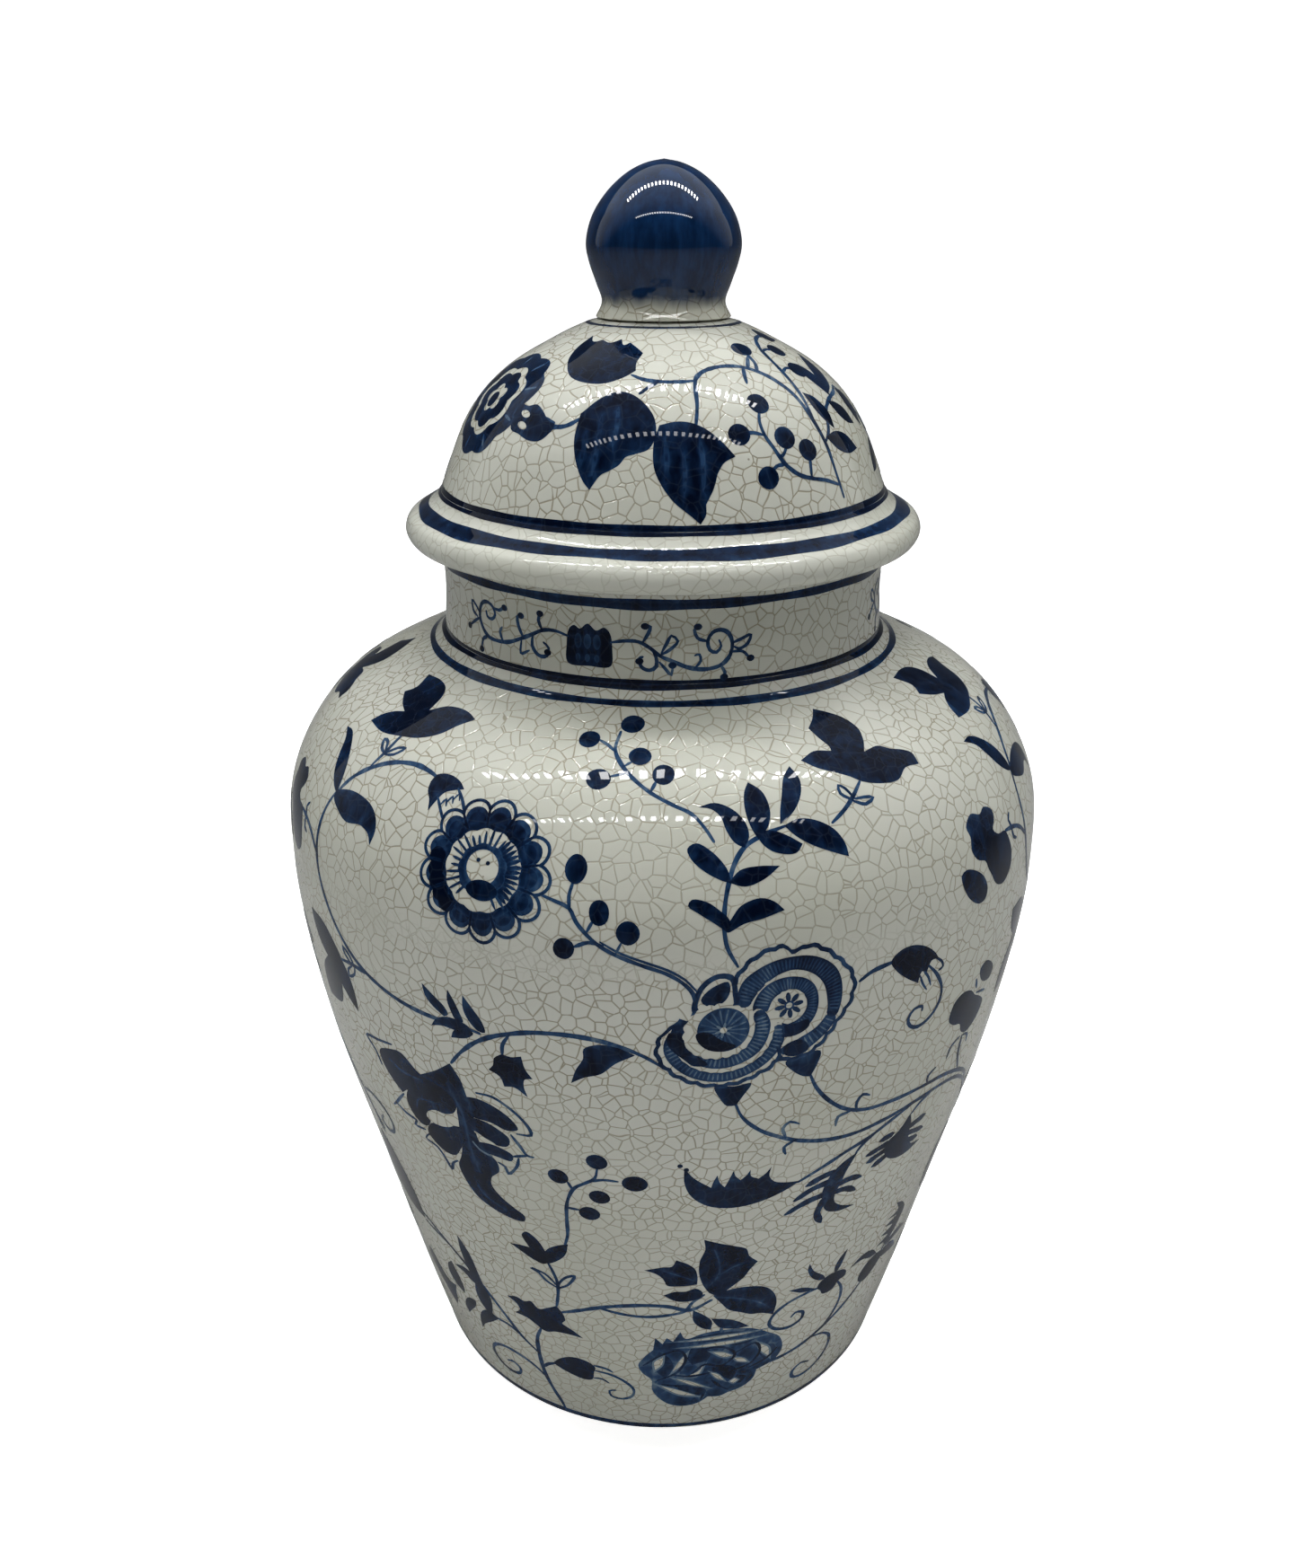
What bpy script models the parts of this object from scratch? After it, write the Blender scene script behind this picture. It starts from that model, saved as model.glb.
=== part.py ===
"""Lidded ginger jar: turned stoneware body, domed lid with locating ring and hollow bud knob.

Metres, +Z up. The origin is the centre of the foot, on the surface that the jar stands on.
Profiles are written as (radius, height) in millimetres and turned round the Z axis.
"""

import math

import bpy

MM = 0.001
COLLECTION = "ginger_jar"

# Driving dimensions, in millimetres.
TOTAL_HEIGHT = 306.0
BELLY_RADIUS = 94.0
BELLY_HEIGHT = 151.0
FOOT_RADIUS = 64.3
FOOT_RING_WIDTH = 7.0
FOOT_RECESS = 4.5
FOOT_EDGE = 1.5
NECK_FOOT_HEIGHT = 203.4
NECK_RADIUS = 53.1
NECK_BORE_RADIUS = 48.2
SEAT_HEIGHT = 226.0
LIP_EDGE = 1.5
WALL = 5.0
FLANGE_RADIUS = 61.0
LID_WALL = 4.5
LID_BORE_RADIUS = 42.6
COLLAR_RADIUS = 46.4
COLLAR_TAPER = 0.8
COLLAR_DEPTH = 13.5
COLLAR_WALL = 4.0
CROWN_HEIGHT = 275.2
VENT_RADIUS = 4.0
KNOB_RADIUS = 17.4
KNOB_WALL = 3.6
JOINT_GAP = 0.3

TURN_STEPS = 40
KNOB_STEPS = 32
MERGE_DISTANCE = 0.00001

# Outer outline of the body, foot to neck.
BODY_OUTLINE = [
    (FOOT_RADIUS, FOOT_EDGE),
    (70.0, 24.0),
    (79.2, 64.0),
    (88.4, 104.0),
    (BELLY_RADIUS - 0.8, 135.0),
    (BELLY_RADIUS, BELLY_HEIGHT),
    (92.7, 167.0),
    (87.2, 179.0),
    (78.7, 188.6),
    (66.4, 195.4),
    (56.4, 200.2),
    (NECK_RADIUS, NECK_FOOT_HEIGHT),
]

# Outer outline of the lid's dome, from the vent under the knob to the flange.
DOME_OUTLINE = [
    (VENT_RADIUS, CROWN_HEIGHT),
    (17.2, 272.4),
    (26.5, 268.2),
    (35.0, 263.3),
    (41.6, 257.4),
    (46.4, 250.3),
    (49.6, 243.0),
    (52.3, 235.8),
]

# Rounded bead of the flange, from the foot of the dome to its underside.
FLANGE_OUTLINE = [
    (52.3, 235.8),
    (54.4, 233.4),
    (57.5, 231.5),
    (60.1, 229.8),
    (FLANGE_RADIUS, 227.2),
    (59.7, 224.7),
    (56.8, 223.9),
    (55.0, 224.8),
]

# Outer outline of the knob, tip to foot.
KNOB_OUTLINE = [
    (0.0, TOTAL_HEIGHT),
    (4.0, 305.2),
    (8.2, 303.2),
    (12.6, 299.4),
    (16.0, 294.4),
    (KNOB_RADIUS, 288.8),
    (16.7, 284.8),
    (15.2, 280.5),
    (14.0, 276.6),
    (15.4, 273.4),
]


def between(start, end, low, high, value):
    """Linear blend from start at low to end at high."""
    share = (value - low) / (high - low)
    return start + (end - start) * share


def spline(points, per_span):
    """Points of a centripetal Catmull-Rom curve through an outline, both ends included."""
    first = tuple(2 * a - b for a, b in zip(points[0], points[1]))
    last = tuple(2 * a - b for a, b in zip(points[-1], points[-2]))
    chain = [first, *points, last]
    curve = []
    for index in range(1, len(chain) - 2):
        quad = chain[index - 1:index + 3]
        knots = [0.0]
        for a, b in zip(quad, quad[1:]):
            knots.append(knots[-1] + math.sqrt(math.dist(a, b)))
        for step in range(per_span):
            at = between(knots[1], knots[2], 0, per_span, step)
            curve.append(tuple(neville(quad, knots, at, axis) for axis in (0, 1)))
    curve.append(points[-1])
    return curve


def neville(quad, knots, at, axis):
    """One coordinate of the Catmull-Rom curve at parameter at."""
    line = [
        between(quad[i][axis], quad[i + 1][axis], knots[i], knots[i + 1], at)
        for i in range(3)
    ]
    bend = [between(line[i], line[i + 1], knots[i], knots[i + 2], at) for i in range(2)]
    return between(bend[0], bend[1], knots[1], knots[2], at)


def offset(outline, distance):
    """The outline moved by distance to the left of its direction of travel."""
    moved = []
    for index, (radius, height) in enumerate(outline):
        before = outline[max(index - 1, 0)]
        after = outline[min(index + 1, len(outline) - 1)]
        run, rise = after[0] - before[0], after[1] - before[1]
        length = math.hypot(run, rise)
        moved.append((radius - distance * rise / length, height + distance * run / length))
    return moved


def turned(name, profile, steps, material, lid_pivot=None):
    """A solid of revolution: inside from the axis outwards, then down its outer side."""
    base = SEAT_HEIGHT if lid_pivot else 0.0
    mesh = bpy.data.meshes.new(name)
    verts = [(radius * MM, 0.0, (height - base) * MM) for radius, height in profile]
    edges = [(index, index + 1) for index in range(len(verts) - 1)]
    if profile[0][0] > 0 and profile[-1][0] > 0:
        edges.append((len(verts) - 1, 0))
    mesh.from_pydata(verts, edges, [])
    mesh.materials.append(material)
    solid = bpy.data.objects.new(name, mesh)
    bpy.data.collections[COLLECTION].objects.link(solid)
    solid.parent = lid_pivot
    turn = solid.modifiers.new("turn", "SCREW")
    turn.axis = "Z"
    turn.angle = math.tau
    turn.steps = steps
    turn.render_steps = steps
    turn.use_merge_vertices = True
    turn.merge_threshold = MERGE_DISTANCE
    turn.use_smooth_shade = True
    return solid


def glaze(name, color, roughness):
    """A glazed ceramic surface."""
    material = bpy.data.materials.new(name)
    material.use_nodes = True
    shader = material.node_tree.nodes["Principled BSDF"]
    shader.inputs["Base Color"].default_value = (*color, 1.0)
    shader.inputs["Roughness"].default_value = roughness
    shader.inputs["Metallic"].default_value = 0.0
    material.diffuse_color = (*color, 1.0)
    return material


def body_profile():
    """Inside floor, wall and neck, over the lip, down the outside, and under the foot ring."""
    outside = spline(BODY_OUTLINE, 2)
    inside = offset(outside, WALL)
    floor = FOOT_RECESS + WALL
    wall = [point for point in inside if floor + WALL < point[1] < NECK_FOOT_HEIGHT - 8.0]
    ring_inside = FOOT_RADIUS - FOOT_RING_WIDTH
    profile = [(0.0, floor), (wall[0][0] - 9.0, floor), (wall[0][0] - 2.5, floor + 1.8)]
    profile += wall
    profile += [
        (NECK_BORE_RADIUS + 1.4, NECK_FOOT_HEIGHT - 3.2),
        (NECK_BORE_RADIUS, NECK_FOOT_HEIGHT),
        (NECK_BORE_RADIUS, SEAT_HEIGHT - LIP_EDGE),
        (NECK_BORE_RADIUS + LIP_EDGE, SEAT_HEIGHT),
        (NECK_RADIUS - LIP_EDGE, SEAT_HEIGHT),
        (NECK_RADIUS, SEAT_HEIGHT - LIP_EDGE),
        (NECK_RADIUS - 0.6, between(NECK_FOOT_HEIGHT, SEAT_HEIGHT, 0, 2, 1)),
    ]
    profile += outside[::-1]
    profile += [
        (FOOT_RADIUS - FOOT_EDGE, 0.0),
        (ring_inside, 0.0),
        (ring_inside - 2.0, FOOT_RECESS - 1.0),
        (ring_inside - 6.0, FOOT_RECESS),
        (0.0, FOOT_RECESS),
    ]
    return profile


def dome_profile():
    """Inside of the dome from the vent down, over the seat, and up under the flange bead."""
    outside = spline(DOME_OUTLINE, 2)
    inside = offset(outside[:-3], -LID_WALL)
    inside[0] = (VENT_RADIUS, inside[0][1])
    seat = SEAT_HEIGHT + JOINT_GAP
    underside = [
        (FLANGE_OUTLINE[-1][0] - 0.6, seat),
        (LID_BORE_RADIUS, seat),
        (LID_BORE_RADIUS + 1.0, seat + 4.0),
    ]
    flange = spline(FLANGE_OUTLINE, 2)[1:]
    return outside + flange + underside + inside[::-1]


def collar_profile():
    """The ring that drops inside the neck, hung from the lid's seat."""
    top = SEAT_HEIGHT
    bottom = SEAT_HEIGHT - COLLAR_DEPTH
    inner = COLLAR_RADIUS - COLLAR_WALL
    return [
        (COLLAR_RADIUS, top),
        (COLLAR_RADIUS - COLLAR_TAPER, bottom + 1.0),
        (COLLAR_RADIUS - COLLAR_TAPER - 1.0, bottom),
        (inner + 1.0, bottom),
        (inner, bottom + 1.0),
        (inner, top),
    ]


def knob_profile():
    """Hollow bud, tip to foot, then inside again through the vent over the lid's crown."""
    outside = spline(KNOB_OUTLINE, 2)
    foot = offset(spline(DOME_OUTLINE[:2], 4), JOINT_GAP)
    seat = [point for point in foot if point[0] < KNOB_OUTLINE[-1][0] - 0.5]
    hollow = [
        point for point in offset(KNOB_OUTLINE, -KNOB_WALL)[1:-1]
        if point[1] > CROWN_HEIGHT + 1.2 * KNOB_WALL
    ]
    throat = (VENT_RADIUS, CROWN_HEIGHT + KNOB_WALL)
    return outside + seat[::-1] + [throat] + hollow[::-1] + [(0.0, TOTAL_HEIGHT - KNOB_WALL)]


def main():
    for item in list(bpy.data.objects):
        bpy.data.objects.remove(item)
    bpy.context.scene.collection.children.link(bpy.data.collections.new(COLLECTION))

    crackle_white = glaze("crackle_white_glaze", (0.58, 0.57, 0.52), 0.16)
    lid_white = glaze("lid_white_glaze", (0.60, 0.59, 0.54), 0.16)
    inner_white = glaze("inner_white_glaze", (0.52, 0.51, 0.47), 0.3)
    cobalt = glaze("cobalt_knob_glaze", (0.02, 0.04, 0.13), 0.12)

    pivot = bpy.data.objects.new("lid_pivot", None)
    pivot.location = (0.0, 0.0, SEAT_HEIGHT * MM)
    bpy.data.collections[COLLECTION].objects.link(pivot)

    turned("jar_body", body_profile(), TURN_STEPS, crackle_white)
    turned("lid_dome", dome_profile(), TURN_STEPS, lid_white, pivot)
    turned("lid_locating_ring", collar_profile(), TURN_STEPS, inner_white, pivot)
    turned("lid_knob", knob_profile(), KNOB_STEPS, cobalt, pivot)


main()
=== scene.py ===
"""A blue-and-white ginger jar: crackled glaze over a turned body, lid and knob, with painted cobalt.

Outlines, marks and light strips are in millimetres. The finishes, floor, lamp and camera are in
metres, as the frame is. A place on a wall is (turn, rise): degrees round the axis from the front,
and millimetres along the wall from its foot.
"""

import math

import bpy
import numpy as np
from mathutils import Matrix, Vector, geometry


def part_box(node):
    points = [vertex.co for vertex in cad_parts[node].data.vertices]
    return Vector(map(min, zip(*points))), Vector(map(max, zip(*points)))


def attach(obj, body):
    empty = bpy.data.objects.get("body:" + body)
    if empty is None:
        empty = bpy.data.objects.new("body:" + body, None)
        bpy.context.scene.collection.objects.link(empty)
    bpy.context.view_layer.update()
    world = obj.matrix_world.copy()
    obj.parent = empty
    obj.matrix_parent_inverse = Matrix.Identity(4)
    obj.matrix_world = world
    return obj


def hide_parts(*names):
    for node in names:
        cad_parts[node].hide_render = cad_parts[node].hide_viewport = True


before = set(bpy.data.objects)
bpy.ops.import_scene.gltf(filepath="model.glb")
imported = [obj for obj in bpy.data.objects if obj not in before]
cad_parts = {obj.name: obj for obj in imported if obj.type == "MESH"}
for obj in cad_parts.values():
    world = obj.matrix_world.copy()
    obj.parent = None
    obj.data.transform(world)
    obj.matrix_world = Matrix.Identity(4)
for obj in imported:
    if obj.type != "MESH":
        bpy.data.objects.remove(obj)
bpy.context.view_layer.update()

MM = 0.001
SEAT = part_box("jar_body")[1].z / MM
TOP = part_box("lid_knob")[1].z / MM

TURN_STEPS = 240       # faces round the axis in a turned piece
CORNER_STEPS = 5       # points round a rounded corner
BODY_THICK = 5.0
LID_THICK = 4.5
GAP = 0.3              # the lid stands this far off its seat, and the knob off the lid
RING_DROP = 13.5       # the locating ring reaches this far below the seat
RING_GLAZED = 12.6     # and its glaze this far
BARE_EDGE = 0.4        # bare clay reaches this far up from the foot and the seat
GLAZE_SINK = 0.06      # the glaze lies this far under the top of the paint
PAINT_DEPTH = 0.12     # from the top of the paint to its underside
PLANE_SCALE = 1.45     # millimetres of wall in one degree of turn, at a middling radius
OUTLINE_STEP = 0.8     # between points on the edge of a mark
LINE_STEP = 1.1        # between points along a brush line
FILL_STEP = 2.4        # between points inside a mark, whose rows are closer
FILL_ROW = 0.87 * FILL_STEP


# --- Walls -----------------------------------------------------------------------------------

BODY_OUTLINE = [(64.3, 1.5), (70.0, 24.0), (79.2, 64.0), (88.4, 104.0), (93.2, 135.0), (94.0, 151.0),
                (92.7, 167.0), (87.2, 179.0), (78.7, 188.6), (66.4, 195.4), (56.4, 200.2), (53.1, 203.4)]
NECK_OUTLINE = [(53.1, 203.4), (52.5, 214.7), (53.1, SEAT - 1.5)]
DOME_OUTLINE = [(52.3, 235.8), (49.6, 243.0), (46.4, 250.3), (41.6, 257.4), (35.0, 263.3),
                (26.5, 268.2), (17.2, 272.4), (4.0, 275.2)]
FLANGE_OUTLINE = [(55.0, 224.8), (56.8, 223.9), (59.7, 224.7), (61.0, 227.2), (60.1, 229.8),
                  (57.5, 231.5), (54.4, 233.4), (52.3, 235.8)]
KNOB_OUTLINE = [(15.4, 273.4), (14.0, 276.6), (15.2, 280.5), (16.7, 284.8), (17.4, 288.8),
                (16.0, 294.4), (12.6, 299.4), (8.2, 303.2), (4.0, 305.2), (0.0, TOP)]


def blend(start, end, low, high, at):
    """start at low, end at high, and the straight line between them at at."""
    return start + (end - start) * (at - low) / (high - low)


def spline(points, closed=False, step=None, per_span=16):
    """A centripetal Catmull-Rom curve through points, with per_span samples or one every step."""
    points = np.asarray(points, float)
    if closed:
        chain = np.vstack([points[-1:], points, points[:2]])
    else:
        chain = np.vstack([2 * points[0] - points[1], points, 2 * points[-1] - points[-2]])
    curve = []
    for quad in zip(chain, chain[1:], chain[2:], chain[3:]):
        gaps = [max(math.dist(a, b), 1e-6) ** 0.5 for a, b in zip(quad, quad[1:])]
        knot = np.concatenate([[0.0], np.cumsum(gaps)])
        count = max(2, round(math.dist(quad[1], quad[2]) / step)) if step else per_span
        at = np.linspace(knot[1], knot[2], count, endpoint=False)[:, None]
        line = [blend(quad[i], quad[i + 1], knot[i], knot[i + 1], at) for i in range(3)]
        bend = [blend(line[i], line[i + 1], knot[i], knot[i + 2], at) for i in range(2)]
        curve.append(blend(bend[0], bend[1], knot[1], knot[2], at))
    if not closed:
        curve.append(points[-1:])
    return np.vstack(curve)


class Wall:
    """The outer side of a turned outline, from its foot up."""

    def __init__(self, *outlines):
        self.line = np.vstack([spline(outline) for outline in outlines])
        keep = np.r_[True, np.hypot(*np.diff(self.line, axis=0).T) > 1e-6]
        self.line = self.line[keep]
        self.along = np.r_[0.0, np.cumsum(np.hypot(*np.diff(self.line, axis=0).T))]
        slope = np.gradient(self.line, self.along, axis=0)
        self.out = np.stack([slope[:, 1], -slope[:, 0]], 1)
        self.out /= np.hypot(*self.out.T)[:, None]

    def at(self, table, rise):
        return np.stack([np.interp(rise, self.along, table[:, i]) for i in (0, 1)], -1)

    def radius(self, rise):
        return np.interp(rise, self.along, self.line[:, 0])

    def normals(self, turn, rise):
        out = self.at(self.out, rise)
        angle = np.radians(turn)
        return np.stack([out[:, 0] * np.sin(angle), -out[:, 0] * np.cos(angle), out[:, 1]], -1)

    def points(self, turn, rise, lift=0.0):
        """Places on the wall, in metres, lifted off it by lift millimetres."""
        line = self.at(self.line, rise)
        angle = np.radians(turn)
        flat = np.stack([line[:, 0] * np.sin(angle), -line[:, 0] * np.cos(angle), line[:, 1]], -1)
        return (flat + lift * self.normals(turn, rise)) * MM


BODY_WALL = Wall(BODY_OUTLINE)
NECK_WALL = Wall(NECK_OUTLINE)
DOME_WALL = Wall(DOME_OUTLINE)
FLANGE_WALL = Wall(FLANGE_OUTLINE)


# --- Brushwork -------------------------------------------------------------------------------

class Painting:
    """Marks on one sector of a wall. A later mark covers the ones under it; ink 0 clears them."""

    def __init__(self, wall, repeats):
        self.wall = wall
        self.repeats = repeats
        self.marks = []
        self.piece = None

    def mark(self, outline, ink):
        self.marks.append((np.asarray(outline, float), ink, self.piece))

    def local(self, turn, rise, across, up):
        """The place across millimetres round the wall and up millimetres along it from a place."""
        height = rise + np.asarray(up, float)
        return np.stack([turn + np.degrees(across / self.wall.radius(height)), height], -1)

    def scale(self, rise):
        """Millimetres in one degree of turn."""
        return np.radians(1.0) * self.wall.radius(rise)

    def fill(self, points, ink=1.0):
        """A closed outline through points. A point with a third value is a sharp corner."""
        flat = [np.array([turn * PLANE_SCALE, rise]) for turn, rise, *_ in points]
        corners = [i for i, point in enumerate(points) if len(point) > 2]
        if not corners:
            outline = spline(flat, closed=True, step=OUTLINE_STEP)
        else:
            runs = []
            for first, last in zip(corners, corners[1:] + [corners[0] + len(points)]):
                run = [flat[i % len(points)] for i in range(first, last + 1)]
                runs.append(spline(run, step=OUTLINE_STEP)[:-1])
            outline = np.vstack(runs)
        self.mark(outline / [PLANE_SCALE, 1.0], ink)

    def line(self, points, width=1.0, ink=0.74, ends=(0.55, 0.55)):
        """A brush line of this width in millimetres, drawn finer towards its ends."""
        flat = np.asarray(points, float) * [PLANE_SCALE, 1.0]
        path = spline(flat, step=LINE_STEP) / [PLANE_SCALE, 1.0]
        scale = self.scale(path[:, 1])
        ahead = np.gradient(path, axis=0) * np.stack([scale, np.ones(len(path))], 1)
        ahead /= np.hypot(*ahead.T)[:, None] + 1e-9
        share = np.linspace(0.0, 1.0, len(path))
        start = ends[0] + (1 - ends[0]) * np.clip(share / 0.2, 0, 1) ** 0.7
        end = ends[1] + (1 - ends[1]) * np.clip((1 - share) / 0.2, 0, 1) ** 0.7
        sway = 1 + 0.10 * np.sin(path[:, 1] * 0.9 + path[:, 0] * 0.7)
        sway = sway + 0.06 * np.sin(path[:, 0] * 2.3)
        half = 0.5 * width * np.minimum(start, end) * sway
        side = np.stack([-ahead[:, 1] * half / scale, ahead[:, 0] * half], 1)
        cap = np.stack([ahead[-1, 0] * half[-1] / scale[-1], ahead[-1, 1] * half[-1]])
        tail = np.stack([ahead[0, 0] * half[0] / scale[0], ahead[0, 1] * half[0]])
        outline = [path + side, [path[-1] + cap], (path - side)[::-1], [path[0] - tail]]
        self.mark(np.vstack(outline), ink)

    def dab(self, turn, rise, wide, tall, lean=0.0, ink=1.0):
        """An oval spot, wide and tall being its half sizes in millimetres."""
        count = max(10, round(math.tau * max(wide, tall) / OUTLINE_STEP))
        angle = np.arange(count) * math.tau / count
        x = wide * np.cos(angle) * (1 + 0.04 * np.sin(2 * angle + turn))
        y = tall * np.sin(angle)
        lean = math.radians(lean)
        across = x * math.cos(lean) - y * math.sin(lean)
        up = x * math.sin(lean) + y * math.cos(lean)
        self.mark(self.local(turn, rise, across, up), ink)

    def rim(self, turn, rise, size, lobes=0, depth=0.0):
        """Points round a centre, size millimetres off, with any lobes as deep as depth."""
        count = max(12, round(math.tau * size / OUTLINE_STEP))
        angle = np.radians(np.linspace(0.0, 360.0, count, endpoint=False))
        bump = np.abs(np.sin(0.5 * lobes * angle)) if lobes else 1.0
        reach = size - depth + depth * bump
        return self.local(turn, rise, reach * np.cos(angle), reach * np.sin(angle))

    def around(self, turn, rise, edge, bumps=0, depth=0.0):
        """Points along an edge of (degrees, millimetres) round a centre, with bumps in a circle."""
        angle, reach = spline(edge, step=4.0).T
        reach = reach + depth * np.abs(np.sin(np.radians(0.5 * bumps * angle)))
        angle = np.radians(angle)
        return self.local(turn, rise, reach * np.cos(angle), reach * np.sin(angle))

    def ray(self, turn, rise, angle, reach, width, ink, ends=(0.6, 0.6)):
        """A short straight stroke that points away from a centre, between two reaches."""
        reach = np.linspace(*reach, 3)
        angle = math.radians(angle)
        path = self.local(turn, rise, reach * math.cos(angle), reach * math.sin(angle))
        self.line(path, width, ink, ends)

    def spot(self, turn, rise, angle, reach, long, wide, ink):
        """An oval that points away from a centre, with its middle reach millimetres off."""
        way = math.radians(angle)
        middle = self.local(turn, rise, reach * math.cos(way), reach * math.sin(way))
        self.dab(middle[0], middle[1], long, wide, angle, ink)

    def crescent(self, turn, rise, outside, inside, ink, hatch):
        """A curved petal between two edges round a centre, with pale strokes every hatch degrees."""
        back = self.around(turn, rise, inside)[::-1]
        self.mark(np.vstack([self.around(turn, rise, outside), back]), ink)
        for (angle, far), (_, near) in ((outside[0], inside[0]), (outside[-1], inside[-1])):
            self.spot(turn, rise, angle, 0.5 * (near + far), 0.5 * (far - near), 0.5 * (far - near), ink)
        for angle in np.arange(outside[0][0] + hatch, outside[-1][0], hatch):
            far, near = (np.interp(angle, *np.transpose(edge)) for edge in (outside, inside))
            self.ray(turn, rise, angle, (near + 0.5, far - 0.5), 0.36, ink - 0.22)


def paint_rosette(art, turn, rise, size, petals):
    """A round flower: double-edged petals, a pale ring crossed by fine rays, and a seeded heart."""
    angles = np.arange(petals) * 360.0 / petals
    for reach, long, wide, ink in ((0.77, 0.23, 0.225, 0.85), (0.77, 0.185, 0.178, 0.0),
                                   (0.70, 0.185, 0.172, 0.86), (0.665, 0.14, 0.14, 1.0)):
        for angle in angles:
            art.spot(turn, rise, angle, size * reach, size * long, size * wide, ink)
    art.mark(art.rim(turn, rise, 0.66 * size), 0.95)
    for angle in (176.0, 189.0, 202.0, 215.0, 228.0):
        art.spot(turn, rise, angle, 0.72 * size, 0.13 * size, 0.13 * size, 1.2)
    for angle in angles:
        art.ray(turn, rise, angle + 180.0 / petals, (0.52 * size, 0.84 * size), 0.7, 1.0)
    art.mark(art.rim(turn, rise, 0.57 * size, petals, 0.03 * size), 0.0)
    for angle in np.arange(-60.0, 235.0, 12.0):
        far = size * (0.53 + 0.06 * math.sin(9 * angle))
        art.ray(turn, rise, angle, (0.30 * size, far), 0.6, 0.85, (1.0, 0.4))
    for angle in np.arange(-42.0, 62.0, 8.0):
        art.ray(turn, rise, angle, (0.33 * size, 0.56 * size), 0.8, 0.9, (1.0, 0.3))
    art.mark(art.rim(turn, rise, 0.37 * size, 9, 0.03 * size), 0.72)
    art.mark(art.rim(turn, rise + 0.04 * size, 0.24 * size), 0.0)
    scale = art.scale(rise)
    art.dab(turn + 0.04 * size / scale, rise - 0.26 * size, 0.23 * size, 0.14 * size)
    art.dab(turn - 0.08 * size / scale, rise + 0.13 * size, 0.03 * size, 0.03 * size)
    art.dab(turn + 0.07 * size / scale, rise + 0.11 * size, 0.03 * size, 0.03 * size)


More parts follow.
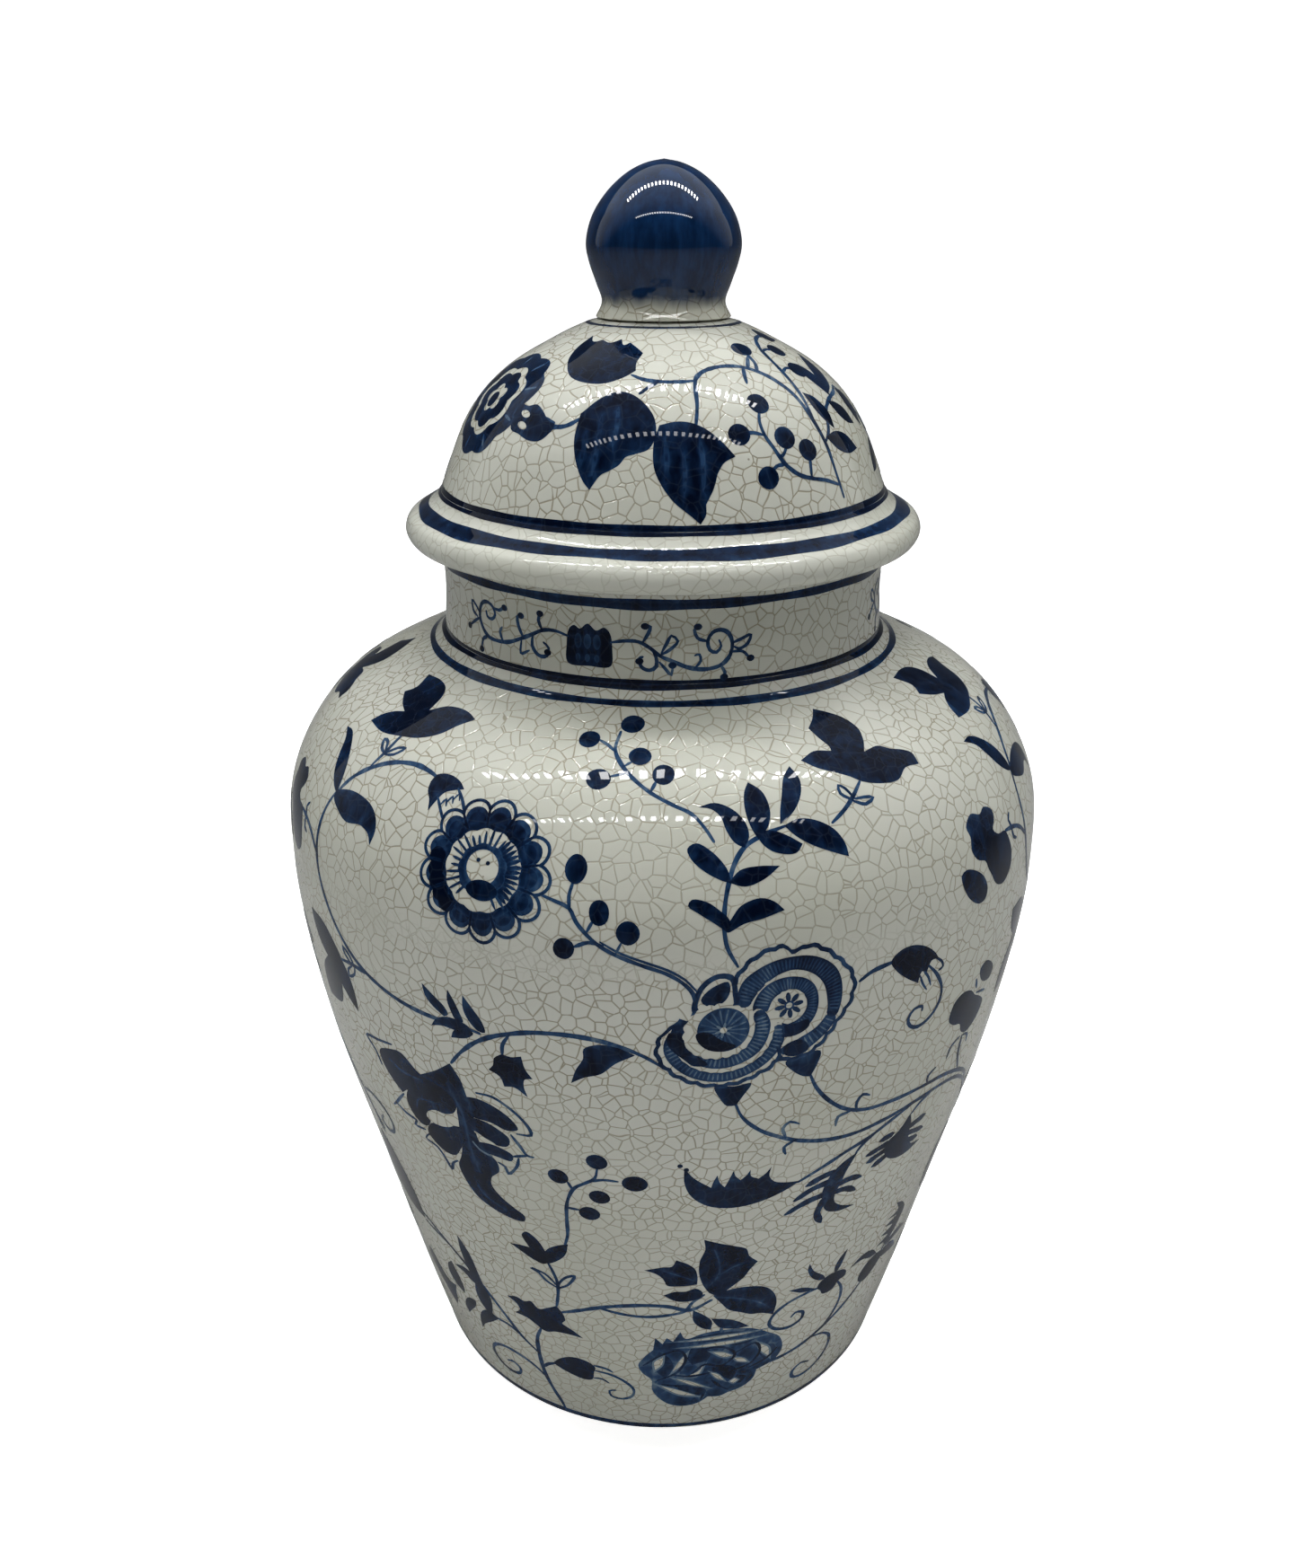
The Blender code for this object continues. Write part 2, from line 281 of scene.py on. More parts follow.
def paint_double_flower(art):
    """Two ruffled flowers side by side, each of curved petals nested round an eye."""
    art.piece = "painted_double_flower"
    art.fill([(6.4, 130.6), (9, 130.2), (11.2, 130.6), (10.2, 127.2), (9.4, 124.8, 1), (8.2, 124.8),
              (7.2, 127)])
    art.fill([(15.6, 135), (18, 136.4), (20.4, 136.4), (20.2, 133), (19.4, 129.8, 1), (18.4, 130.2),
              (16.8, 132.2)])

    right = (15.5, 149.5)
    edge = [(-112, 12), (-92, 13.7), (-68, 14.2), (-45, 13.2), (-26, 13.0), (-8, 14.2), (12, 15.0),
            (40, 14.0), (76, 13.7), (86, 12.4), (97, 13.9), (126, 14.2), (148, 13.6), (171, 12.0),
            (196, 11)]
    art.mark(art.around(*right, edge, 24, 0.6), 0.85)
    art.mark(art.around(*right, [(angle, reach - 1.0) for angle, reach in edge[1:-1]], 24, 0.6), 0.0)
    outside = [(-90, 12.4), (-76, 13.0), (-55, 12.4), (-29, 12.2)]
    inside = [(-90, 9.9), (-69, 9.0), (-45, 9.2), (-30, 9.3)]
    art.crescent(*right, outside, inside, 0.85, 6.0)
    outside = [(-19, 11.9), (2, 11.9), (33, 12.3), (61, 11.8), (90, 11.2), (124, 11.5), (146, 12.0),
               (166, 11.4)]
    inside = [(-19, 9.1), (2, 8.4), (33, 8.3), (60, 8.2), (90, 8.2), (118, 7.8), (143, 7.7), (166, 8.2)]
    art.crescent(*right, outside, inside, 0.97, 4.6)
    art.fill([(15.2, 139.4), (15.2, 137.4), (16.6, 136.3), (18.6, 137.4), (18.4, 139.2), (17.2, 140.6)])
    art.mark(art.rim(*right, 8.0, 18, 0.7), 0.0)
    outside = [(-84, 7.7), (-50, 7.2), (0, 6.5), (45, 6.7), (90, 6.7), (140, 7.4), (176, 7.8)]
    inside = [(-84, 4.4), (-50, 4.2), (0, 3.9), (45, 3.6), (90, 3.4), (140, 3.9), (176, 4.2)]
    art.crescent(*right, outside, inside, 0.9, 7.5)
    art.mark(art.rim(*right, 3.9, 14, 0.3), 0.0)
    for angle in np.arange(8.0, 360.0, 45.0):
        art.spot(*right, angle, 2.0, 1.15, 0.55, 0.88)
    art.mark(art.rim(*right, 1.1), 0.66)
    art.mark(art.rim(*right, 0.7), 0.0)
    art.fill([(12.9, 145), (14.2, 145.7), (15.8, 144.8), (18.2, 145.4), (18.4, 143.6), (16.6, 141.8),
              (14.2, 142.2)])

    art.fill([(3.4, 149.6), (3.5, 153.6), (4.6, 156.8), (6.4, 158.5), (8.2, 158), (8.9, 154), (9, 150.2)],
             0.85)
    art.fill([(4.1, 150.4), (4.3, 154), (5.3, 156.3), (6.6, 157.4), (7.8, 156.9), (8.2, 153.6),
              (8.2, 150.8)], 0.0)
    art.fill([(4.3, 152.6), (5, 151.3), (7, 151.8), (7.9, 154.4), (7.6, 156.6), (6.6, 156.2),
              (5.2, 154.8)])

    left = (7.2, 145.2)
    edge = [(160, 9), (173, 10.6), (186, 13), (198, 14.4), (214, 15), (238, 14.7), (268, 14.6),
            (300, 14.6), (322, 15.0), (338, 13)]
    art.mark(art.around(*left, edge, 26, 0.6), 0.85)
    edge = [(angle, reach - 1.0) for angle, reach in edge[1:]] + [(362, 12)]
    art.mark(art.around(*left, edge, 26, 0.6), 0.0)
    outside = [(179, 10.6), (191, 12.2), (205, 13.2), (228, 13.4), (250, 13.4), (272, 13.4), (297, 13.3),
               (323, 13.5), (342, 13.6), (354, 12.8)]
    inside = [(179, 7.4), (191, 8.0), (206, 9.0), (217, 10.6), (241, 10.9), (268, 10.8), (295, 10.7),
              (322, 10.9), (345, 10.6), (354, 10.4)]
    art.crescent(*left, outside, inside, 0.85, 4.6)
    edge = [(214, 10.8), (250, 10.8), (290, 10.7), (325, 10.8), (350, 10.5), (372, 10.2), (394, 8)]
    art.mark(art.around(*left, edge, 30, 0.3), 0.0)
    outside = [(228, 10.0), (250, 9.9), (268, 9.8), (297, 9.7), (324, 9.9), (347, 9.8), (365, 9.8),
               (380, 9.4)]
    inside = [(228, 7.2), (250, 7.2), (268, 6.9), (297, 6.7), (324, 6.6), (347, 6.5), (365, 6.5),
              (380, 6.5)]
    art.crescent(*left, outside, inside, 0.82, 6.4)
    art.fill([(0.4, 144.9), (2, 145.2), (2.6, 141.2), (4.4, 138.6), (5.4, 136.6), (3.6, 136.4),
              (2.2, 138.4), (0.9, 140.4), (0.2, 142.4)])
    edge = [(0, 6.2), (60, 6.0), (100, 6.2), (145, 7.2), (180, 7.9), (220, 7.9), (270, 6.8), (320, 6.4)]
    art.mark(art.around(*left, edge, 20, 0.5), 0.0)
    art.mark(art.rim(*left, 5.4), 0.72)
    for angle in np.arange(0.0, 360.0, 20.0):
        art.ray(*left, angle, (1.4, 4.9), 0.36, 0.54)
    art.fill([(3.8, 144.6), (5.2, 145), (7, 142.8), (8.9, 141), (7.4, 139.9), (5.4, 140.4), (4.1, 142.4)])
    for angle in np.arange(20.0, 380.0, 60.0):
        art.spot(*left, angle, 1.1, 0.8, 0.3, 0.2)
    art.mark(art.rim(*left, 0.75), 0.0)


def paint_vines(art):
    """The vines and their tendrils."""
    art.piece = "painted_vines"
    for width, *path in (
        (1.1, (-35.5, 192.4), (-38, 193.4), (-41.5, 193.8), (-46, 192.3), (-50, 189), (-53, 185),
         (-55.2, 180)),
        (1.1, (-55.2, 180.5), (-56.3, 176), (-56.7, 171), (-56.3, 164), (-54.7, 157), (-51, 149.7),
         (-46.5, 144.3), (-42, 141.5), (-37, 139.9), (-32, 139.4), (-28, 139.8), (-24.5, 139)),
        (1.0, (-44.5, 142.6), (-48, 142.5), (-51.3, 141.5)),
        (0.9, (-48.9, 199), (-49.2, 194), (-50.3, 189.3)),
        (1.0, (-64.5, 170.8), (-61.5, 170), (-59, 168.3), (-56.6, 165)),
        (0.8, (-62, 170), (-62.8, 172.3), (-62, 173.6)), (0.8, (-62.3, 170), (-62, 167.8), (-61, 167)),
        (0.9, (-8.2, 212), (-8.6, 207), (-7, 202.7), (-5, 199.4), (-2.2, 196), (1, 193.3), (3.6, 191.3),
         (5.2, 188.5), (6.4, 185.4)),
        (0.8, (-11.8, 209.3), (-10, 208), (-8.5, 206.3)), (0.7, (-5.4, 203.8), (-6.5, 202.6)),
        (0.7, (-8.6, 199.6), (-6.2, 200.6)), (0.7, (-1.4, 198.8), (-2.2, 196.2)),
        (1.0, (16.5, 187.4), (13, 186), (10.4, 184), (8.9, 181), (8, 177.5), (7.3, 173), (7.1, 168),
         (7.5, 164), (8.8, 159.8)),
        (0.9, (30.2, 193.8), (28, 191), (26, 188.8), (23.4, 186.5)),
        (0.9, (-15.6, 173.6), (-13.7, 172.7), (-12, 171.7), (-11, 169), (-9.6, 166.5), (-8.4, 164.8),
         (-6, 162.6), (-2.5, 160.4), (0, 158.9), (2, 156.8), (3.4, 154), (3.6, 150.5), (2.6, 147),
         (1, 145)),
        (0.6, (-8, 165.3), (-5.6, 163.2), (-2.1, 161.1), (0.3, 159.6), (2.4, 157.4), (3.9, 154.5)),
        (0.8, (-11.7, 177), (-12.1, 174), (-11.9, 171.5)), (0.7, (-8.9, 169.6), (-9.7, 167)),
        (0.7, (-5.4, 165.3), (-6.1, 162.9)), (0.8, (-11.2, 163.8), (-9.4, 165), (-7.6, 164.5)),
        (1.0, (25.2, 151.8), (27, 153.3), (30.4, 154.1)),
        (0.9, (36.6, 150), (38.7, 146.3), (40.1, 142), (40.1, 138.3), (38.7, 135.2), (36.5, 134),
         (34.8, 135.3), (34.2, 137.6), (35.1, 139.6), (36.6, 139.4), (36.7, 138.2)),
        (0.7, (37.8, 151.2), (39.2, 149.5), (39.7, 147.8), (38.9, 147.3)),
        (0.6, (35.3, 148), (36, 145.6), (36.9, 143.6)), (0.6, (35.9, 149), (37, 146.6), (37.6, 144.3)),
        (1.1, (-30, 128), (-28.2, 131.8), (-25.6, 136), (-23, 138.8), (-20.5, 140.6), (-17, 142.3),
         (-12, 143), (-8, 142.3), (-5, 140.8), (-2.5, 138.8), (-0.6, 136.6)),
        (0.8, (-21.5, 134.6), (-21.3, 137.5), (-20.2, 140.5)),
        (1.1, (9.2, 125.6), (10.4, 121), (13, 116.5), (16, 113.4), (19, 111), (23, 109), (28, 107.9),
         (34, 108.3), (40, 109), (46, 108.8), (51, 106.9), (55, 103.5), (59, 98), (62.5, 90), (64, 84)),
        (1.1, (19.2, 130.8), (20.6, 126), (23, 121), (26, 117), (29.5, 114.7), (35, 113.7), (41, 113),
         (46, 112), (51, 109.3), (55, 105.7), (58, 101.4), (60, 97)),
        (0.8, (17, 113), (16.4, 115.8), (17.3, 117.4), (18.8, 116.2)),
        (0.8, (18.6, 111.4), (17, 109.7), (17.4, 107.4)),
        (0.8, (28, 115), (27.7, 118), (28.5, 119.8), (29.8, 118.8)),
        (0.8, (27, 115.8), (24.9, 115.2), (24.8, 112.5)), (0.8, (42.3, 113.1), (42, 115.5), (43.5, 116.8)),
        (1.1, (20.3, 96.7), (24, 99.6), (28, 102.5), (31.5, 104.2), (35.5, 106.7), (40, 108.8)),
        (0.9, (29.8, 100.5), (31, 103), (33, 104.9)), (0.9, (40.3, 105), (42, 107.4), (44.5, 108.8)),
        (0.9, (49.3, 121.6), (49.8, 116), (51.6, 109.6)),
        (0.8, (48.6, 121.8), (46.6, 120.6), (46.1, 117.4)),
        (0.8, (49.6, 121.4), (51.2, 120.4), (51.6, 117.8)), (0.8, (50, 134.6), (49.3, 137.5)),
        (0.8, (50.4, 133), (53.4, 131.4)),
        (0.9, (-9.5, 105.4), (-10, 102), (-11.5, 100), (-13.1, 98), (-14.1, 95), (-14.8, 91),
         (-15.1, 86), (-15.4, 80), (-16.2, 75.5)),
        (0.8, (-6.6, 101.7), (-8.8, 101.8), (-10.6, 100.9)), (0.8, (-14.2, 99.8), (-13.5, 97.2)),
        (0.8, (-12.9, 90.3), (-14.9, 90.4)),
        (0.9, (-20, 67.5), (-19.3, 64), (-18.8, 60), (-19, 56), (-19.5, 52), (-20, 49)),
        (1.2, (-24.4, 37.8), (-25.8, 33), (-26.3, 28), (-26.4, 20), (-26, 15), (-24.8, 9), (-23.6, 4.6),
         (-23, 1)),
        (1.3, (-19.2, 47.6), (-15, 50.6), (-11.8, 52.8), (-8, 54.6), (-3, 55.7), (1, 55.3), (4.8, 53.6),
         (8.6, 57)),
        (1.0, (-11.8, 52.9), (-7, 51.4), (-3, 51), (1, 51.8), (4, 53.3), (5.2, 56.6), (7.2, 59.4)),
        (1.1, (-26.4, 25.6), (-30, 30.6), (-33, 37), (-36, 43), (-40, 49.6), (-45, 55), (-50, 58.6),
         (-54, 59.6)),
        (0.9, (-29.4, 30), (-32.5, 32.7), (-36.5, 33)), (0.9, (-37.7, 46), (-44, 54), (-51.5, 56.5)),
        (1.0, (-26.2, 19.6), (-24.8, 21.8), (-22.8, 23.6)),
        (0.8, (-14, 27.2), (-11.6, 26.8), (-10.2, 25.6)),
        (0.7, (-14.4, 21.4), (-12.6, 21.6), (-11.2, 20.2)),
        (0.8, (-14, 25), (-10.5, 24.2), (-7.7, 21.8), (-6, 18.5), (-6.4, 15.3), (-8.7, 13.4), (-11, 14.2),
         (-11.3, 16.5), (-9.9, 17.2)),
        (1.1, (-26.2, 15.2), (-29, 18.6), (-33, 20.4), (-37, 20), (-40.4, 17), (-41.2, 13), (-39.6, 9.6),
         (-37, 8.5), (-34.4, 9.8), (-33.5, 12.5), (-35, 14.4), (-37, 13.4)),
        (0.9, (11, 45.4), (11.2, 41.6)),
        (1.2, (20, 24), (25, 24.5), (30, 26.2), (34, 28.8), (38, 32.2), (41.4, 36), (44.2, 40)),
        (1.0, (35.2, 29.6), (37.2, 34), (38, 39.5), (37.2, 44.6), (35.4, 48.6)),
        (1.0, (31.8, 49.8), (28, 49.9), (24, 48.5), (21.5, 45.5), (20.8, 42), (22.5, 38.8), (26, 37.5),
         (28.3, 39.2), (28.2, 42), (26.4, 43), (25.6, 41.6)),
        (1.0, (32.8, 27.6), (36, 26.4), (38.8, 23), (39.8, 18), (38.8, 13.5), (36, 10.3), (33, 9.8),
         (30.8, 11.3), (30.3, 14.2), (32, 16.4), (34.6, 15.2)),
        (1.0, (-60, 94.5), (-57.5, 97), (-54, 98.4), (-50.8, 97), (-49.5, 93.5), (-50.3, 89.8),
         (-52.8, 88.2), (-54.2, 90), (-53, 92.6)),
        (1.0, (60, 97), (62.5, 91), (65, 86)),
    ):
        art.line(path, width)


def paint_leaflets(art):
    """Pairs of small leaflets, drawn in outline."""
    art.piece = "painted_leaflets"
    for path in (
        [(-49, 193), (-50.8, 194), (-51.8, 196), (-50.6, 195.8), (-49.3, 193.4)],
        [(-49, 193), (-47.2, 193.8), (-45.8, 196.2), (-47.2, 195.7), (-49, 193.4)],
        [(27.8, 190.2), (26.2, 192.2), (26.4, 194), (27.3, 193), (28, 190.8)],
        [(27.8, 190), (29.6, 188.8), (31.2, 189.8), (29.8, 190.3), (28.2, 190.4)],
        [(-18.8, 57.6), (-21, 59.6), (-22.2, 62), (-23.6, 63), (-21, 62.2), (-19.6, 60), (-18.9, 58.4)],
        [(-18.8, 57.6), (-16.8, 60), (-15.3, 64.2), (-17, 62.8), (-18.4, 60), (-18.8, 58.4)],
        [(-47.4, 142.4), (-48.4, 144.6), (-50, 145.8), (-49.6, 144), (-48.2, 142.6)],
        [(-47.4, 142), (-47.8, 140), (-49.4, 138.4), (-49.4, 140.2), (-48.2, 141.8)],
    ):
        art.line(path, 0.75)


def paint_berries(art):
    """Berries on the vines."""
    art.piece = "painted_berries"
    for turn, rise, wide, tall in (
        (-6.2, 214.3, 2.5, 2.6), (-13.6, 209.2, 2.3, 2.3), (-4.2, 205.3, 2.3, 2.4),
        (-10.3, 198.8, 2.5, 2.6), (-0.3, 200.5, 2.3, 2.6), (-11.5, 179.5, 2.2, 3.0),
        (-8.2, 171.2, 2.1, 2.6), (-4.6, 167.4, 2.3, 2.5), (-12.5, 163.2, 2.2, 2.3),
        (-9.5, 107.5, 2.4, 2.3), (-15.5, 100.9, 2.4, 2.3), (-4.2, 101.3, 2.8, 2.5), (-9.5, 95.8, 2.4, 2.2),
        (-11.3, 89.5, 2.4, 2.3),
    ):
        art.dab(turn, rise, wide, tall)


def paint_lobed_flowers(art):
    """Dark flowers with scalloped petals, seen from the side."""
    art.piece = "painted_lobed_flowers"
    art.fill([(-61.3, 214.7, 1), (-56, 215.2), (-52, 214), (-50, 211.3), (-49.3, 207, 1), (-46.5, 209.7),
              (-43, 210.6), (-40, 210.2), (-37.6, 209, 1), (-39.8, 206.3), (-41.8, 202.6), (-45, 199.8),
              (-49, 198.3), (-54, 197), (-59.3, 197.6, 1), (-58.3, 200.5), (-56.5, 202.6),
              (-54.3, 203.9, 1), (-57.5, 205.4), (-60.8, 207.8, 1), (-59.4, 210.4)])
    art.fill([(31.2, 214.7, 1), (29.6, 212.2), (27.3, 209.6, 1), (28, 206.5), (28.8, 203.6),
              (28.6, 202.5, 1), (25.5, 203.3), (22.4, 201.5, 1), (24.4, 199), (27, 197), (29, 195.4),
              (30.6, 193.7), (34, 192.1), (37, 191.8), (39.6, 193.8), (42.6, 193.5, 1), (42.8, 196.4),
              (41.3, 198), (39.5, 199), (37.6, 200.7), (34.3, 200.3, 1), (36, 203.4), (36.9, 206.7),
              (35.8, 210.3), (33.4, 213)])
    art.fill([(45.9, 176.8), (47.8, 178.9), (50, 177.8), (51.4, 178.7), (53.3, 177), (53, 174.8),
              (52, 173.1), (53.2, 171.4), (55.3, 170.9), (56.3, 168), (56.7, 165), (56.2, 161.5),
              (54, 159.3), (51.6, 160.5), (50.2, 163.5), (49.3, 165.5), (48.6, 167.7), (46.8, 169),
              (45.8, 171.5), (46.2, 174.5)])
    art.fill([(42.8, 167.5), (44, 168.2), (46, 167), (48, 164.5), (49, 161), (48.5, 158.8), (47, 158.6),
              (45, 160.5), (43.5, 163.5)])
    art.fill([(43.7, 132.5), (44.5, 135.3), (46.3, 136.2), (48.5, 135), (50, 132.7), (52, 130.7),
              (53.7, 128), (53, 124), (50.5, 121.8), (48.5, 123.3), (47.3, 126.5), (45.3, 127.8),
              (43.8, 130)])
    art.fill([(50, 139.8), (51.3, 140.9), (53.3, 139.3), (54.8, 136.5), (54.4, 134.2), (52.3, 134.6),
              (50.8, 136.5)])
    art.fill([(-60.4, 148.3, 1), (-56, 148), (-53, 145.2), (-51, 141.4), (-49.4, 137), (-49, 132),
              (-49.2, 128.5, 1), (-51, 130.4), (-53, 133.5, 1), (-53.7, 129.5), (-55, 126.4),
              (-60, 124.7, 1), (-60.3, 129), (-59.2, 134), (-56.4, 138.4, 1), (-58.6, 141), (-60, 145)])


def paint_leaves(art):
    """Sprays of leaves."""
    art.piece = "painted_leaves"
    for points in (
        [(-64, 192.9, 1), (-61.5, 193.1), (-58.5, 190.5), (-56.4, 187), (-55.3, 183.3), (-55, 180, 1),
         (-56.6, 181), (-58.6, 183.6), (-60.2, 187.4), (-61.5, 190.6)],
        [(-55.2, 180.8, 1), (-52.5, 182.3), (-49.5, 182.8), (-46, 182), (-44, 180), (-43.2, 177.3),
         (-43.5, 174, 1), (-44.4, 176), (-46.5, 177), (-50, 176), (-53, 177.2), (-55.4, 179.2)],
        [(4.6, 192.7, 1), (7, 193.5), (9.5, 191.8), (11, 188.8), (11.2, 186), (10.4, 183.8, 1),
         (9.2, 184.9), (8.2, 187.5), (7.6, 190.5), (6.4, 192.2)],
        [(12.5, 197.7, 1), (14.2, 195.4), (14.8, 192), (14.5, 189), (13.6, 186.8), (12.4, 185.2, 1),
         (11.6, 188), (11.2, 192), (11.6, 195.5)],
        [(20, 200.5, 1), (20.7, 197), (20, 193.5), (18.1, 190), (15.8, 187.8, 1), (16.2, 190.5),
         (17.1, 194), (18.3, 198)],
        [(16.3, 187.5, 1), (18.5, 188.5), (21, 187.7), (23.4, 185.2), (24.5, 182), (24.6, 179.2, 1),
         (22, 181), (19.5, 183), (17.6, 185.2)],
        [(12, 186.8, 1), (13, 184), (14.5, 182.3), (17.3, 181.7), (18.4, 183.3, 1), (16.5, 185.4),
         (14.5, 186.8)],
        [(8.3, 177, 1), (7.8, 180), (6, 183.5), (4, 185.3), (2.8, 184.2), (3.3, 182), (5, 179.5),
         (7, 177.7)],
        [(7.9, 177.2, 1), (9.5, 179.5), (12, 180), (14.8, 179.6, 1), (12.5, 177.3), (10, 176.2)],
        [(7.5, 167.3, 1), (6, 169.2), (4, 171.4), (2.7, 173), (3.2, 174.2), (5, 173.7), (6.8, 171.6),
         (7.8, 169.8)],
        [(7.8, 169.6, 1), (9.3, 172.5), (11.8, 173.7), (13.5, 172.8), (14.8, 170.8, 1), (12, 169.6),
         (9.5, 168.8), (7.5, 167.3)],
        [(-33.1, 147.5, 1), (-31.5, 145.6), (-29.7, 143.4), (-29.2, 141.6), (-29.9, 140.8, 1),
         (-31.5, 142.4), (-32.7, 144.5)],
        [(-28.9, 148.1, 1), (-28, 145.6), (-27.3, 143), (-26.9, 140.8), (-28, 140.8), (-28.7, 143),
         (-29.1, 145.5)],
        [(-26.6, 147.8, 1), (-25.2, 145), (-24, 142.2), (-23.7, 139.6), (-24.7, 139.6), (-26, 141.7),
         (-26.7, 144.5)],
        [(-32.4, 137, 1), (-31.2, 139.6), (-29, 141), (-26.3, 140.2), (-25.6, 138.6), (-28, 138),
         (-30.5, 138)],
        [(-29.2, 135.6, 1), (-28.6, 137.8), (-27, 139.2), (-25.5, 138.6), (-26.6, 136.8)],
        [(-21.6, 134.9, 1), (-20.3, 134.6), (-18.8, 135.4, 1), (-18.4, 132), (-17.5, 129.7, 1),
         (-18.6, 129.2), (-18.9, 127), (-18.5, 124.2, 1), (-20.3, 126.2), (-21.8, 125.8, 1),
         (-22.3, 128.4), (-23.9, 129.6, 1), (-23.1, 131.2), (-22.8, 133.3)],
        [(-3.8, 139.2, 1), (-6, 141), (-8.5, 141.3), (-10.3, 139.9), (-10.4, 137.5), (-11.5, 134),
         (-12.2, 130.4, 1), (-10.4, 132.3), (-8.2, 133.7), (-6.3, 136.7)],
        [(-22.8, 77.3), (-23.9, 75.6), (-23.3, 72.6), (-22.5, 70.6), (-20, 69.6), (-20.4, 73.2),
         (-21.5, 76)],
        [(-26.7, 70.4, 1), (-24, 71.2), (-21, 70.8), (-19.4, 68.6), (-20.8, 66.2), (-23, 67.1),
         (-25, 68.9)],
        [(-15.6, 76.4, 1), (-17.5, 75), (-19.5, 72.6), (-20.4, 70), (-20.2, 66.8), (-18, 68.9),
         (-16.3, 72.2)],
        [(-30.8, 46.6, 1), (-28.5, 47.9), (-26.9, 47.2), (-25.4, 48.4), (-24, 46.2), (-22, 47.8),
         (-19.9, 49.9, 1), (-18.9, 47.3), (-18.6, 44.5), (-19.4, 43), (-17.4, 41), (-15.5, 38.6, 1),
         (-18, 38.9), (-21, 38.5), (-23.5, 37.2), (-25.5, 39), (-27.2, 40.4), (-29.9, 40.5, 1),
         (-28.5, 43), (-29, 45)],
        [(-51.6, 57, 1), (-51.8, 64), (-53.4, 72), (-56.3, 79), (-58.6, 82.2, 1), (-60.5, 77), (-61.8, 68),
         (-60.5, 60.5), (-56, 57)],
        [(-40.3, 62, 1), (-39, 59), (-38, 55), (-37.5, 50), (-37, 45.5), (-36, 41), (-36.4, 36.5),
         (-37.5, 33), (-39.6, 35.6), (-40.2, 40), (-39.6, 44.5), (-40.4, 49.5), (-40.8, 56)],
        [(-38, 44.6), (-39.3, 47.3), (-41.8, 48.2), (-45, 46.2, 1), (-42, 45.6), (-40, 43.8)],
        [(-46.2, 46.1, 1), (-48.2, 43.2), (-48.9, 39), (-47.5, 35.6), (-45.2, 34.2, 1), (-44.7, 37),
         (-45, 40.5)],
        [(-41.8, 34.3), (-43.6, 33.9), (-45.8, 31), (-46.8, 27.4), (-46.4, 25, 1), (-44.3, 28.4),
         (-42.4, 31.6)],
        [(-35.3, 33, 1), (-38, 29.4), (-41, 25.6), (-42.5, 22.6, 1), (-42.1, 27), (-40.5, 31.5),
         (-38, 34)],
        [(-48.2, 34.2, 1), (-51.5, 33.2), (-56.5, 41.2, 1), (-58.5, 36), (-55.8, 29), (-52, 22.5, 1),
         (-50.4, 26.4), (-49.6, 30.4)],
    ):
        art.fill(points)


def paint_rosettes(art):
    """A round flower, and a small tufted bud beside it."""
    art.piece = "painted_rosettes"
    art.fill([(-36.9, 191.4, 1), (-36.4, 193.3), (-34, 194.1), (-31.8, 193.2), (-30.6, 191.8, 1),
              (-32.3, 191), (-33.6, 190), (-34.3, 188.2), (-35.1, 185.4, 1), (-35.7, 187.8),
              (-36.6, 189.4)])
    art.line([(-34.3, 188.6), (-33.2, 186.6), (-32, 184.4)], 0.7)
    art.line([(-31.6, 191.6), (-30.2, 189.6), (-29, 187)], 0.8)
    for shift in (0.0, 0.9, 1.8):
        art.line([(-33.4 + shift, 187.4 + shift), (-32.8 + shift, 188.8 + shift),
                  (-32.4 + shift, 187.4 + shift)], 0.5)
    paint_rosette(art, -24.2, 176.4, 15.2, 13)


